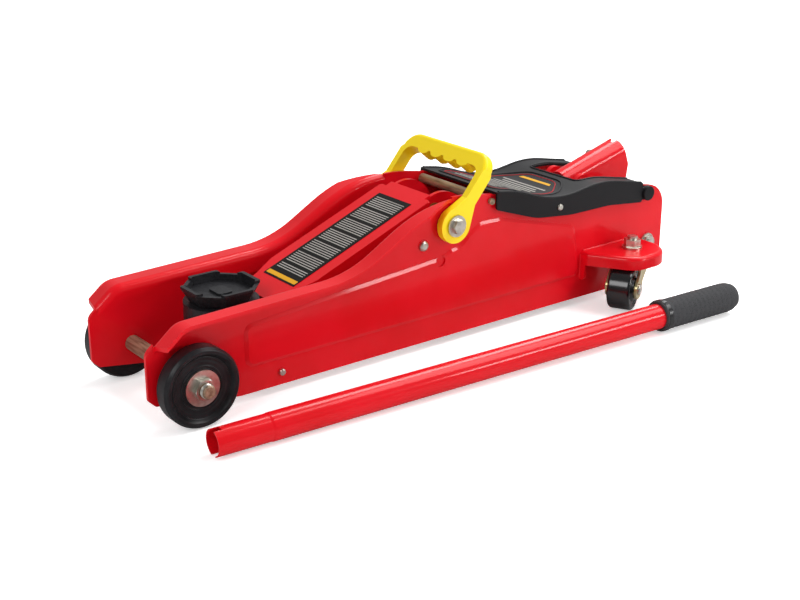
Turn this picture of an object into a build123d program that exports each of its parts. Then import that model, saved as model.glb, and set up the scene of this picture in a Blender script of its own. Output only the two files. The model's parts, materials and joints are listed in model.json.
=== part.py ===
"""Low-profile hydraulic trolley jack, two-tonne class, with its loose pump handle.

Millimetres. x runs forward to the saddle, y to the jack's left side, z up from the floor.
Pieces are drawn with the front axle above x = 0 and are moved together at the end, so that
the origin is the middle of the bottom of the whole set's bounding box.
"""
from build123d import *
from math import asin, cos, degrees, hypot, radians, sin, tan
import os

os.makedirs("parts", exist_ok=True)

# ---- Clearances -------------------------------------------------------------------------
FIT = 0.05             # radial clearance of a pin, shaft or bush in its hole
GAP = 0.3              # side clearance between pieces that move past each other
THROUGH = 400.0        # reach of a cut that runs right through a piece

# ---- Side plates ------------------------------------------------------------------------
PLATE_T = 3.0
PLATE_OUT = 52.0       # outer face of each plate, from the centre plane
FLANGE_OUT = 70.0      # free edge of the turned-out top flange
FLANGE_LOW = 58.0      # height below which the plate's edge stays straight
BEND_R = 7.0           # outside radius of the flange's bend
PLATE_FRONT = 38.5
PLATE_REAR = -552.0
PLATE_TOP_LINE = [     # x and z from the nose over the arm pivot to the tail
    (12.0, 88.3), (-154.8, 93.2), (-247.8, 146.5), (-348.0, 130.0), (-397.0, 112.0), (-458.0, 121.5)]
PLATE_TOP_RADII = [20, 110, 145, 130, 120, 110]
NOSE_Z = (26.0, 66.5)  # height of the nose's straight front edge
TAIL_Z = (22.0, 103.5)  # height of the tail's straight rear edge
PLATE_BELLY = [(-505.0, 7.6), (-46.3, 7.6), (32.2, 19.8)]       # lower edge, rear to front
PANEL_LINE = [         # x and z of the pressed panel's outline, clockwise from its lower front
    (-52.0, 31.0), (-52.0, 69.5), (-165.0, 79.0), (-262.0, 86.5), (-290.0, 101.0), (-306.0, 111.0),
    (-330.0, 110.5), (-427.0, 85.0), (-437.0, 31.0)]
PANEL_RADII = [8, 8, 150, 25, 0, 12, 12, 10, 8]
PANEL_EYE_R = 24.0     # plain ring round the carry handle's eye, cut out of the panel
PANEL_RISE = 1.4       # height of the pressed panel on each plate
PANEL_EDGE = (3.0, 1.2)         # width and height of the panel's sloping edge
FLANGE_FRONT = (31.0, 28.0)      # x of the flange's front end, at the web and at the edge
FLANGE_TAPER = (-272.5, -232.5)  # x of the flange's rear taper, at the web and at the edge

# ---- Front axle and wheels --------------------------------------------------------------
WHEEL_R = 34.5
WHEEL_W = 18.0
WHEEL_IN = 56.2        # inner face of a front wheel
WHEEL_DISH = 4.0       # depth of the wheel's outer recess
AXLE_R = 7.0
AXLE_END = 83.5        # tip of the axle's threaded stub
AXLE_STUB_R = 5.8
AXLE_WASHER_R = 15.5
AXLE_WASHER_T = 2.0
AXLE_NUT_AF = 17.0     # width across flats
AXLE_NUT_H = 5.5

# ---- Lift linkage: pivots as (x, z) with the arm down ------------------------------------
ARM_PIVOT = (-271.0, 115.5)
ARM_LENGTH = 220.35    # arm pivot to saddle pivot
ARM_REST_DEG = -16.75  # the arm's slope from the arm pivot to the saddle pivot
LINK_OFFSET = (12.0, -33.0)      # from each arm pivot to the link's pivot
CRANK = (-34.0, -49.0)           # from the arm pivot to the crank pin
ARM_SHAFT_R = 11.0
BUSH_R = 14.0
ARM_IN = 24.0          # inner face of each arm cheek
ARM_T = 4.0
ARM_NOSE_R = 14.0
CHEEK_LOW = [(-262.0, 82.0), (-205.0, 78.0)]     # lower edge of a cheek, behind its middle
EAR_CENTRE = (-279.0, 107.0)
EAR_R = 31.5
CRANK_PIN_R = 7.0
CRANK_EYE_R = 15.0
ROLLER_R = 14.0
WEB_SLOPE_DEG = 21.47  # slope of the arm's top web
WEB_MARK = (-119.2, 80.5)        # a point of the web's top face
WEB_T = 4.0
WEB_HALF = 37.0
WEB_FRONT_GAP = 37.0   # from the saddle pivot back to the web's front
WEB_NECK_GAP = (18.0, 38.0)      # from the web's front back to its neck, narrow and wide
WEB_NECK_HALF = 30.0
WEB_SHOULDER = -259.0  # x where the web narrows again at the pivot
WEB_REAR = -265.5
LIP_NOSE_GAP = 68.0    # from the web's front to where its lips reach their full depth
LIP_DEPTH = 12.0       # turned-down edges of the web
LABEL_GAP = 22.2       # from the web's front to the label
LABEL_REAR = -247.6
LABEL_HALF = 24.0
LABEL_T = 0.4
SADDLE_PIN_R = 7.0
LINK_PIN_R = 5.0
LINK_IN = 31.0         # inner face of each link bar
LINK_T = 4.0
LINK_HALF = 6.0        # half the height of a link bar
LINK_EYE_R = 8.0

# ---- Saddle -----------------------------------------------------------------------------
SADDLE_BACK = 1.4      # saddle's axis behind its pivot
SADDLE_RISE = 38.0     # top of the four lugs above the saddle pivot
SADDLE_DIP = 2.0       # the rim between the lugs, below their top
SADDLE_WALL = 3.5
SADDLE_R = 34.0
SADDLE_FLOOR_RISE = 30.0         # top of the cup's floor above the pivot
SADDLE_BOTTOM_RISE = 24.0
SADDLE_BOSS = (14.0, 20.0)       # length and width of the pad on the cup's floor
SADDLE_FOOT_R = 27.0   # outside radius of the cup at its bottom
STEM_R = 11.0
STEM_L = 14.0
CARRIER_R = 32.5
CARRIER_T = 9.0        # thickness of the carrier's round table
CARRIER_SKIRT_DROP = 2.0         # the carrier's round skirt reaches this far below the pivot

# ---- Hydraulic unit ---------------------------------------------------------------------
UNIT_Z = 61.0          # axis of cylinder, reservoir and ram
BLOCK_X = (-520.0, -446.0)
BLOCK_Z = (28.0, 72.0)
CYL_R = 22.0
CYL_BORE_R = 16.0
CYL_FRONT = -361.0
RESERVOIR_R = 32.0
RESERVOIR_T = 2.5
RESERVOIR_FRONT = -372.0
GLAND_R = 26.0
GLAND_T = 7.0
RAM_R = 13.0
PISTON_T = 11.0
PISTON_GAP = 1.5       # oil gap behind the piston with the ram in
PAD_R = 18.0
PAD_T = 8.0
PAD_BASE_GAP = 1.2     # from the ram's pad to the crank roller, arm down
CROSS_BACK = -352.0
CROSS_T = 10.0
SPRING_Y = 40.0        # return springs beside the reservoir
SPRING_R = 5.5
SPRING_WIRE = 1.4
SPRING_REAR = -440.0

# ---- Handle socket and pump -------------------------------------------------------------
SOCKET_PIVOT = (-466.0, 111.5)
SOCKET_TILT_DEG = 16.0           # rise of the socket's axis to the rear
SOCKET_R = 14.5
HANDLE_R = 12.0        # outside radius of the pump handle's tube
HANDLE_END_R = 11.6    # outside radius of its drawn-down end, which enters the socket
HANDLE_CLEAR = 0.3     # radial clearance of that end in the socket
SOCKET_START = 30.0    # from the pivot along the axis to the tube's front
SOCKET_MOUTH = 71.0    # from the pivot along the axis to the mouth
SOCKET_NOSE = 10.0     # from the pivot forward to the socket's front edge
NOSE_R = 13.0          # rounding of the socket's back at its front edge
NOSE_RISE = 1.5        # centre of that rounding above the axis
SKIRT_DROP = 27.0      # from the axis down to the skirt's lower edge
SOCKET_T = 2.5         # wall of the pressed channel
BULKHEAD_T = 6.0       # wall in front of the bore, which the release key passes
KEY_L = 6.0            # reach of the release key into the bore
KEY_ROOM = (6.5, 0.8)  # length and depth of the relief round the key, at the bore's bottom
CHEEK_IN = 14.0
CHEEK_T = 3.0
EAR_IN = 17.4          # inner face of the block's ears
EAR_T = 5.0
EAR_BOSS_R = 11.0
SOCKET_PIN_R = 5.0
PRESS_PIN = (-30.0, -14.0)       # from the socket's pivot to the pin that presses the plunger
PRESS_PIN_R = 5.0
PLUNGER_R = 6.0
CAP_R = 10.0
CAP_T = 3.5
BARREL_R = 11.0
BARREL_H = 5.0
SPINDLE_DEG = 78.0     # fall of the release spindle, forward
SPINDLE_R = 5.0
SPINDLE_REACH = 58.0   # from the knuckle to the spindle's seat in the block
KNUCKLE_R = 9.0

# ---- Cover ------------------------------------------------------------------------------
COVER_OUT = 57.0
COVER_T = 2.2
COVER_LOW = 95.0       # height below which the cover has no top
COVER_SEAT = 0.3       # from the cover's underside to the plates' top edges
COVER_OPENING_X = -447.0
COVER_OPENING_HALF = 33.0
COVER_SKIRT = [(-322.0, 120.0), (-372.0, 103.0), (-418.0, 98.2), (-470.0, 98.2), (-516.0, 93.0)]
COVER_SKIRT_RADII = [3, 90, 90, 60, 3]           # the skirt's lower edge, front to rear, in x and z
COVER_PIN = (-523.0, 101.5)
COVER_PIN_R = 7.5
COVER_BRIDGE_HALF = 6.0          # half the height of the strip from the cover to its pin ear
COVER_SCREW = (-402.0, 108.5)

# ---- Fasteners in the plates ------------------------------------------------------------
FRONT_TIE = (-87.0, 19.3)
FRONT_TIE_R = 3.0
UPPER_TIE = (-318.0, 128.5)
UPPER_TIE_R = 4.5
UPPER_TIE_END_R = 3.0
SIDE_RIVET = (-239.5, 100.8)
SIDE_RIVET_R = 4.3
REAR_TIE = (-531.0, 47.0)
REAR_TIE_R = 5.0
REAR_WASHER_R = 9.5

# ---- Carry handle -----------------------------------------------------------------------
GRIP_TILT_DEG = 40.0   # lean of the carry handle to the rear
GRIP_EYE_R = 16.4
GRIP_IN = 53.0         # inner face of the handle's legs
GRIP_T = 7.0
GRIP_REACH = 72.0      # pivot to the outer edge of the bar
GRIP_LEG = 13.0        # width of a leg
GRIP_CORNER_R = 17.0   # outside radius of the handle's upper corners
GRIP_BAR = 15.0        # depth of the bar
GRIP_BUMP_STEP = 19.0  # spacing of the finger bumps
GRIP_BOLT_R = 5.0
GRIP_WASHER_T = 1.5
GRIP_HEAD_AF = 12.0
GRIP_HEAD_H = 4.0

# ---- Casters ----------------------------------------------------------------------------
SWIVEL = (-486.0, 74.5)          # x and y of the swivel axis
CASTER_R = 21.5
CASTER_W = 25.0
CASTER_TRAIL = 23.5
CASTER_DEG = 28.0      # swivel of the left caster, from forward towards the left
LOBE_R = 30.0
BRACKET_TOP = 56.0
BRACKET_T = 4.0
BRACKET_RIM = 43.5     # height of the turned-down rim's edge
BRACKET_WALL = 3.0
BRACKET_BEND_R = 4.0
TAB_FRONT = -437.0     # front face of the bracket's welded front wall
TAB_REACH = 10.0       # how far that wall stands out from the side plate
TAB_LOW = 27.0
FORK_T = 2.5
FORK_TOP = 48.0
FORK_END_R = 9.5
CASTER_AXLE_R = 3.5
SWIVEL_BOLT_R = 5.0

# ---- Loose pump handle ------------------------------------------------------------------
BAR_START = (21.5, 122.2)        # x and y of the open end's centre
BAR_DEG = 176.6        # heading of the bar, seen from above
BAR_LENGTH = 567.5
BAR_WALL = 1.6
BAR_SPIGOT = (48.0, 50.0)       # where the drawn-down end stops, and where the tube has its full size
BAR_NOTCH = (6.6, 7.0)          # width and depth of the notch at the open end
GRIP_TUBE_R = 14.5
GRIP_TUBE_L = 100.0


# ---- Helpers ----------------------------------------------------------------------------
def outline(points, radii):
    """Face with its corners rounded."""
    return make_face(FilletPolyline(*points, radius=radii, close=True))


def slab(face, y_low, y_high):
    """Solid from a face drawn in x and z, between two values of y."""
    return Pos(0, y_high, 0) * Rot(90, 0, 0) * extrude(face, y_high - y_low)


def rod_y(radius, y_low, y_high, at):
    x, z = at
    return Pos(x, (y_low + y_high) / 2, z) * Rot(90, 0, 0) * Cylinder(radius, y_high - y_low)


def rod_x(radius, x_low, x_high, y, z):
    return Pos((x_low + x_high) / 2, y, z) * Rot(0, 90, 0) * Cylinder(radius, x_high - x_low)


def rod_z(radius, z_low, z_high, at):
    x, y = at
    return Pos(x, y, (z_low + z_high) / 2) * Cylinder(radius, z_high - z_low)


def block(x_range, y_range, z_range):
    size = [high - low for low, high in (x_range, y_range, z_range)]
    middle = [(high + low) / 2 for low, high in (x_range, y_range, z_range)]
    return Pos(*middle) * Box(*size)


def hex_y(across_flats, y_low, y_high, at):
    """Hexagon prism along y, with its corners broken on the outer end."""
    corner_r = across_flats / 3 ** 0.5
    prism = slab(Pos(*at) * RegularPolygon(corner_r, 6), y_low, y_high)
    return prism & bevelled_rod(corner_r, y_low, y_high, at)


def bevelled_rod(radius, y_low, y_high, at, bevel=1.0):
    """Rod along y with a chamfer at its higher end."""
    rod = rod_y(radius, y_low, y_high, at)
    return chamfer(rod.edges().sort_by(Axis.Y)[-1], bevel)


def domed_rod(radius, y_low, y_high, at, dome):
    """Rod along y with a rounded higher end."""
    rod = rod_y(radius, y_low, y_high, at)
    return fillet(rod.edges().sort_by(Axis.Y)[-1], dome)


def mirrored(shape):
    return mirror(shape, about=Plane.XZ)


def pair(shape):
    """A piece and its twin on the other side, as two solids."""
    return Compound(children=[*shape.solids(), *mirrored(shape).solids()])


def plus(a, b):
    return (a[0] + b[0], a[1] + b[1])


def eye(centre, radius):
    return Pos(*centre) * Circle(radius)


def hull(circles):
    """Face wrapped round circles given as (centre, radius)."""
    edges = [(Pos(*centre) * Circle(radius)).edge() for centre, radius in circles]
    return make_hull(ShapeList(edges))


# ---- Places worked out from the driving sizes --------------------------------------------
AXLE = (0.0, WHEEL_R)
PLATE_IN = PLATE_OUT - PLATE_T
ARM_VECTOR = (ARM_LENGTH * cos(radians(ARM_REST_DEG)), ARM_LENGTH * sin(radians(ARM_REST_DEG)))
SADDLE_PIVOT = plus(ARM_PIVOT, ARM_VECTOR)
SADDLE_X = SADDLE_PIVOT[0] - SADDLE_BACK
SADDLE_TOP = SADDLE_PIVOT[1] + SADDLE_RISE
SADDLE_FLOOR = SADDLE_PIVOT[1] + SADDLE_FLOOR_RISE
SADDLE_BOTTOM = SADDLE_PIVOT[1] + SADDLE_BOTTOM_RISE
CARRIER_SKIRT = SADDLE_PIVOT[1] - CARRIER_SKIRT_DROP
WEB_FRONT = SADDLE_PIVOT[0] - WEB_FRONT_GAP
WEB_NECK = (WEB_FRONT - WEB_NECK_GAP[0], WEB_FRONT - WEB_NECK_GAP[1])
LINK_REAR = plus(ARM_PIVOT, LINK_OFFSET)
LINK_FRONT = plus(SADDLE_PIVOT, LINK_OFFSET)
CRANK_PIN = plus(ARM_PIVOT, CRANK)
ARM_OUT = ARM_IN + ARM_T
COVER_FRONT, COVER_REAR = COVER_SKIRT[0][0], COVER_SKIRT[-1][0]
WHEEL_OUT = WHEEL_IN + WHEEL_W
PAD_FACE = CRANK_PIN[0] - ROLLER_R - PAD_BASE_GAP
WEB_TAN = tan(radians(WEB_SLOPE_DEG))
PLUNGER_X = SOCKET_PIVOT[0] + PRESS_PIN[0]
CAP_TOP = SOCKET_PIVOT[1] + PRESS_PIN[1] - PRESS_PIN_R - GAP


def web_z(x):
    """Height of the arm's top web at x."""
    return WEB_MARK[1] - WEB_TAN * (x - WEB_MARK[0])


# ---- Side plates ------------------------------------------------------------------------
def plate_face():
    """Outline of a side plate: low nose, ramp up to the arm pivot, then the tail."""
    points = [
        (PLATE_FRONT, NOSE_Z[1]), *PLATE_TOP_LINE, (PLATE_REAR, TAIL_Z[1]), (PLATE_REAR, TAIL_Z[0]),
        *PLATE_BELLY, (PLATE_FRONT, NOSE_Z[0]),
    ]
    return outline(points, [10, *PLATE_TOP_RADII, 24, 8, 20, 30, 4, 4])


def panel_face():
    """Outline of the pressed panel on the plate's side."""
    return outline(PANEL_LINE, PANEL_RADII) - eye(ARM_PIVOT, PANEL_EYE_R)


def flange_part(face):
    """Upper strip of the plate, with its edge bent outward."""
    reach = block((FLANGE_TAPER[0], FLANGE_FRONT[0]), (0, 2 * FLANGE_OUT), (FLANGE_LOW, THROUGH))
    inner = offset(face, -PLATE_T)
    strip = slab(face, PLATE_IN, FLANGE_OUT) - slab(inner, PLATE_OUT, FLANGE_OUT + 1)
    strip = strip & reach
    top = [e for e in strip.edges() if runs_along(e) and abs(e.center().Y - PLATE_IN) < 0.01]
    strip = fillet(top, BEND_R)
    root = [e for e in strip.edges() if runs_along(e) and abs(e.center().Y - PLATE_OUT) < 0.01]
    strip = fillet(root, BEND_R - PLATE_T)
    plan = make_face(Polyline(
        (FLANGE_FRONT[0], PLATE_IN - 1), (FLANGE_FRONT[0], PLATE_OUT), (FLANGE_FRONT[1], FLANGE_OUT),
        (FLANGE_TAPER[1], FLANGE_OUT), (FLANGE_TAPER[0], PLATE_OUT), (FLANGE_TAPER[0], PLATE_IN - 1),
        close=True))
    return strip & extrude(plan, THROUGH)


def runs_along(edge):
    """True for the edges of the bend, which run forward high on the strip."""
    start, end = edge.position_at(0), edge.position_at(1)
    return abs(start.X - end.X) > 1 and min(start.Z, end.Z) > FLANGE_LOW + 2


def side_plate():
    face = plate_face()
    web = slab(face, PLATE_IN, PLATE_OUT)
    web -= block((FLANGE_TAPER[0], FLANGE_FRONT[0]), (0, 2 * FLANGE_OUT), (FLANGE_LOW, THROUGH))
    panel = slab(panel_face(), PLATE_OUT - 0.5, PLATE_OUT + PANEL_RISE)
    front = panel.faces().sort_by(Axis.Y)[-1]
    panel = chamfer(front.edges(), *PANEL_EDGE, reference=front)
    plate = web + flange_part(face) + panel
    plate -= slab(offset(panel_face(), -PLATE_T), PLATE_IN - 1, PLATE_IN + PANEL_RISE)
    holes = [
        (AXLE, AXLE_R), (ARM_PIVOT, ARM_SHAFT_R), (LINK_REAR, LINK_PIN_R), (FRONT_TIE, FRONT_TIE_R),
        (UPPER_TIE, UPPER_TIE_END_R), (SIDE_RIVET, SIDE_RIVET_R), (REAR_TIE, REAR_TIE_R),
        (COVER_PIN, 4.0), (COVER_SCREW, 2.5),
    ]
    for at, radius in holes:
        plate -= rod_y(radius + FIT, PLATE_IN - 1, PLATE_OUT + PANEL_RISE + 1, at)
    return plate


# ---- Front axle and wheels --------------------------------------------------------------
def front_wheel():
    """Solid tread wheel with a raised rim and a flat hub face."""
    half = [
        (AXLE_R + FIT, WHEEL_IN), (WHEEL_R - 2, WHEEL_IN), (WHEEL_R, WHEEL_IN + 3),
        (WHEEL_R, WHEEL_OUT - 3), (WHEEL_R - 2, WHEEL_OUT), (WHEEL_R - 5, WHEEL_OUT),
        (WHEEL_R - 8, WHEEL_OUT - WHEEL_DISH), (AXLE_R + FIT, WHEEL_OUT - WHEEL_DISH),
    ]
    face = outline(half, [0, 1.5, 2, 2, 1.5, 1, 1.5, 0])
    wheel = revolve(face, Axis.Y)
    return Pos(AXLE[0], 0, AXLE[1]) * wheel


def front_axle():
    """Plain shaft with a turned-down stub outside each nut."""
    shoulder = WHEEL_OUT - WHEEL_DISH + GAP + AXLE_WASHER_T + AXLE_NUT_H
    stub = bevelled_rod(AXLE_STUB_R, shoulder - 1, AXLE_END, AXLE)
    return rod_y(AXLE_R, -shoulder, shoulder, AXLE) + stub + mirrored(stub)


def axle_washer():
    face = WHEEL_OUT - WHEEL_DISH + GAP
    return rod_y(AXLE_WASHER_R, face, face + AXLE_WASHER_T, AXLE) - rod_y(AXLE_R + FIT, 0, THROUGH, AXLE)


def axle_nut():
    seat = WHEEL_OUT - WHEEL_DISH + GAP + AXLE_WASHER_T
    return hex_y(AXLE_NUT_AF, seat, seat + AXLE_NUT_H, AXLE) - rod_y(AXLE_R + FIT, 0, THROUGH, AXLE)


def wheel_spacer():
    ring = rod_y(AXLE_R + 4, PLATE_OUT, WHEEL_IN - GAP, AXLE)
    return ring - rod_y(AXLE_R + FIT, 0, THROUGH, AXLE)


# ---- Rods, rivets and bolts through the plates --------------------------------------------
def front_tie_rod():
    end = PLATE_OUT + 3
    rod = rod_y(FRONT_TIE_R, -end, end, FRONT_TIE)
    return fillet(rod.edges().filter_by(GeomType.CIRCLE), 1.2)


def upper_tie_rod():
    """Spacer rod with shouldered ends riveted through the plates."""
    end = PLATE_OUT + 3
    return rod_y(UPPER_TIE_R, -PLATE_IN, PLATE_IN, UPPER_TIE) + rod_y(UPPER_TIE_END_R, -end, end, UPPER_TIE)


def side_rivet():
    """Round-headed rivet, its tail spread on the plate's inside."""
    head = domed_rod(SIDE_RIVET_R + 0.6, PLATE_OUT, PLATE_OUT + 3, SIDE_RIVET, 2.4)
    tail = rod_y(SIDE_RIVET_R + 2, PLATE_IN - 2, PLATE_IN, SIDE_RIVET)
    return head + rod_y(SIDE_RIVET_R, PLATE_IN - 1, PLATE_OUT + 1, SIDE_RIVET) + tail


def rear_tie_bolt():
    end = PLATE_OUT + 6
    spacer = rod_y(REAR_TIE_R + 3, -PLATE_IN, PLATE_IN, REAR_TIE)
    return spacer + rod_y(REAR_TIE_R, -end, end, REAR_TIE)


def rear_tie_nut():
    """Nut on its washer, on the plate's outside."""
    washer = rod_y(REAR_WASHER_R, PLATE_OUT, PLATE_OUT + 1.5, REAR_TIE)
    nut = hex_y(14, PLATE_OUT + 1, PLATE_OUT + 5, REAR_TIE)
    return washer + nut - rod_y(REAR_TIE_R + FIT, 0, THROUGH, REAR_TIE)


def arm_shaft():
    """Main pivot shaft, drilled at both ends for the carry handle's bolts."""
    end = PLATE_OUT + 0.5
    shaft = rod_y(ARM_SHAFT_R, -end, end, ARM_PIVOT)
    hole = rod_y(GRIP_BOLT_R + FIT, end - 22, end + 1, ARM_PIVOT)
    return shaft - hole - mirrored(hole)


def handle_bolt():
    """Hexagon bolt and washer that hold the carry handle's eye to the shaft."""
    washer_in = GRIP_IN + GRIP_T + GAP
    head_in = washer_in + GRIP_WASHER_T
    shank = rod_y(GRIP_BOLT_R, PLATE_OUT - 20, head_in + 1, ARM_PIVOT)
    washer = rod_y(GRIP_HEAD_AF / 2 + 4, washer_in, head_in, ARM_PIVOT)
    return shank + washer + hex_y(GRIP_HEAD_AF, head_in, head_in + GRIP_HEAD_H, ARM_PIVOT)


def link_anchor_pin():
    """Stub pin that carries the rear eye of a link bar."""
    stub = rod_y(LINK_PIN_R, LINK_IN - 1, PLATE_OUT, LINK_REAR)
    collar = rod_y(LINK_PIN_R + 3, LINK_IN + LINK_T + GAP, PLATE_IN, LINK_REAR)
    head = rod_y(LINK_PIN_R + 2, LINK_IN - 2.2, LINK_IN - GAP, LINK_REAR)
    return stub + collar + head


# ---- Lift arm ---------------------------------------------------------------------------
def arm_web():
    """Sloping top web with turned-down lips, narrowed to a neck at the front."""
    plan = outline(
        [(WEB_FRONT, -ARM_OUT), (WEB_FRONT, ARM_OUT), (WEB_NECK[0], WEB_NECK_HALF), (WEB_NECK[1], WEB_HALF),
         (WEB_SHOULDER, WEB_HALF), (WEB_SHOULDER, ARM_OUT + 1), (WEB_REAR, ARM_OUT + 1),
         (WEB_REAR, -ARM_OUT - 1), (WEB_SHOULDER, -ARM_OUT - 1), (WEB_SHOULDER, -WEB_HALF),
         (WEB_NECK[1], -WEB_HALF), (WEB_NECK[0], -WEB_NECK_HALF)],
        [3, 3, 15, 10, 3, 0, 0, 0, 0, 3, 10, 15])
    rise = (web_z(WEB_REAR) - web_z(WEB_FRONT)) / (WEB_FRONT - WEB_REAR)
    drop = WEB_T * hypot(1, rise)
    top = make_face(Polyline(
        (WEB_FRONT, web_z(WEB_FRONT)), (WEB_REAR, web_z(WEB_REAR)), (WEB_REAR, web_z(WEB_REAR) - drop),
        (WEB_FRONT, web_z(WEB_FRONT) - drop), close=True))
    web = slab(top, -WEB_HALF, WEB_HALF) & extrude(plan, 300)
    front, rear = WEB_NECK[1], WEB_SHOULDER
    nose = WEB_FRONT - LIP_NOSE_GAP
    lip_face = outline(
        [(front, web_z(front) - 1), (rear, web_z(rear) - 1), (rear, web_z(rear) - LIP_DEPTH),
         (nose, web_z(nose) - LIP_DEPTH), (front - 5, web_z(front - 5) - LIP_DEPTH / 2)],
        [0, 0, 3, 10, 2])
    lip = slab(lip_face, WEB_HALF - 3, WEB_HALF)
    return web + lip + mirrored(lip)


def arm_cheek():
    """Inner side plate of the arm: nose eye, rear ear and the crank that the ram pushes."""
    ux, uz = cos(radians(ARM_REST_DEG)), sin(radians(ARM_REST_DEG))
    bx, bz = SADDLE_PIVOT
    low = ARM_NOSE_R
    nose_low = (bx + low * ux + low * uz, bz + low * uz - low * ux)
    nose_top = (bx + low * ux - low * uz * 0.3, bz + low)
    rear = CHEEK_LOW[0][0]
    body = outline(
        [nose_low, nose_top, (bx - 27, bz + low), (WEB_FRONT, web_z(WEB_FRONT) - 2),
         (rear, web_z(rear) - 2), (EAR_CENTRE[0] + 6, EAR_CENTRE[1]), (rear, CHEEK_LOW[0][1]), CHEEK_LOW[1]],
        [low * 0.9, low * 0.9, 5, 3, 0, 0, 20, 40])
    crank = hull([(EAR_CENTRE, EAR_R), (CRANK_PIN, CRANK_EYE_R)])
    cheek = slab(body + crank, ARM_IN, ARM_OUT)
    cheek -= rod_y(BUSH_R + FIT, 0, THROUGH, ARM_PIVOT)
    cheek -= rod_y(CRANK_PIN_R + FIT, 0, THROUGH, CRANK_PIN)
    return cheek - rod_y(SADDLE_PIN_R + FIT, 0, THROUGH, SADDLE_PIVOT)


def lift_arm():
    cheek = arm_cheek()
    return arm_web() + cheek + mirrored(cheek)


def arm_bush():
    ring = rod_y(BUSH_R, ARM_IN - 2, ARM_OUT + 1.5, ARM_PIVOT)
    return ring - rod_y(ARM_SHAFT_R + FIT, 0, THROUGH, ARM_PIVOT)


def arm_label():
    front, rear = WEB_FRONT - LABEL_GAP, LABEL_REAR
    lift = 0.02
    face = make_face(Polyline(
        (front, web_z(front) + lift), (rear, web_z(rear) + lift),
        (rear, web_z(rear) + lift + LABEL_T), (front, web_z(front) + lift + LABEL_T), close=True))
    return slab(face, -LABEL_HALF, LABEL_HALF)


def crank_pin():
    return rod_y(CRANK_PIN_R, -ARM_OUT, ARM_OUT, CRANK_PIN)


def crank_roller():
    side = ARM_IN - 1
    roller = rod_y(ROLLER_R, -side, side, CRANK_PIN)
    return roller - rod_y(CRANK_PIN_R + FIT, -THROUGH, THROUGH, CRANK_PIN)


def saddle_pin():
    return rod_y(SADDLE_PIN_R, -ARM_OUT, ARM_OUT, SADDLE_PIVOT)


# ---- Saddle, its carrier and the levelling links -------------------------------------------
def saddle_carrier():
    """Round table on a block that hangs on the saddle pin and reaches down to the links."""
    centre = (SADDLE_X, 0)
    table = rod_z(CARRIER_R, SADDLE_BOTTOM - CARRIER_T, SADDLE_BOTTOM - GAP, centre)
    drum = rod_z(CARRIER_R, CARRIER_SKIRT, SADDLE_BOTTOM - CARRIER_T + 1, centre)
    inside = block((-THROUGH, 0), (-ARM_IN + 0.5, ARM_IN - 0.5), (0, THROUGH))
    outside = block((-THROUGH, 0), (ARM_OUT + 0.7, THROUGH), (0, THROUGH))
    skirts = (drum & outside) + (drum & mirrored(outside))
    lug = hull([(SADDLE_PIVOT, ARM_NOSE_R), (LINK_FRONT, LINK_EYE_R)])
    core = (drum & inside) + slab(lug, -ARM_IN + 0.5, ARM_IN - 0.5)
    carrier = table + skirts + core
    carrier -= rod_y(SADDLE_PIN_R + FIT, -THROUGH, THROUGH, SADDLE_PIVOT)
    carrier -= rod_y(LINK_PIN_R + FIT, -THROUGH, THROUGH, LINK_FRONT)
    return carrier - rod_z(STEM_R + FIT, SADDLE_BOTTOM - STEM_L - 1, SADDLE_TOP, centre)


def link_pin():
    end = LINK_IN + LINK_T + 1.2
    return rod_y(LINK_PIN_R, -end, end, LINK_FRONT)


def saddle():
    """Eight-sided cup with four lugs on its rim, a flat boss on its floor and a stem below."""
    place = Pos(SADDLE_X, 0, 0)
    low_rim = SADDLE_TOP - SADDLE_DIP
    octagon = Rot(0, 0, 22.5) * RegularPolygon(SADDLE_R, 8)
    foot = Rot(0, 0, 22.5) * RegularPolygon(SADDLE_FOOT_R, 8)
    cup = loft([Pos(0, 0, SADDLE_BOTTOM) * foot, Pos(0, 0, low_rim) * octagon], ruled=True)
    cup += Pos(0, 0, low_rim) * extrude(octagon & plus_sign(SADDLE_R * 0.42), SADDLE_DIP)
    cup -= Pos(0, 0, SADDLE_FLOOR) * extrude(offset(octagon, -SADDLE_WALL), SADDLE_TOP)
    boss = Pos(0, 0, SADDLE_FLOOR - 1) * extrude(RectangleRounded(*SADDLE_BOSS, SADDLE_WALL), 3)
    stem = rod_z(STEM_R, SADDLE_BOTTOM - STEM_L, SADDLE_BOTTOM + 1, (0, 0))
    return place * (cup + boss + stem)


def plus_sign(half):
    """Flat cross whose arms are twice this half width."""
    return Rectangle(3 * SADDLE_R, 2 * half) + Rectangle(2 * half, 3 * SADDLE_R)


def link_bar():
    """Flat bar from the plate's stub pin to the carrier."""
    ends = hull([(LINK_REAR, LINK_HALF), (LINK_FRONT, LINK_HALF)])
    bar = slab(ends + eye(LINK_REAR, LINK_EYE_R) + eye(LINK_FRONT, LINK_EYE_R), LINK_IN, LINK_IN + LINK_T)
    bar -= rod_y(LINK_PIN_R + FIT, 0, THROUGH, LINK_REAR)
    return bar - rod_y(LINK_PIN_R + 2 * GAP, 0, THROUGH, LINK_FRONT)


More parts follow.
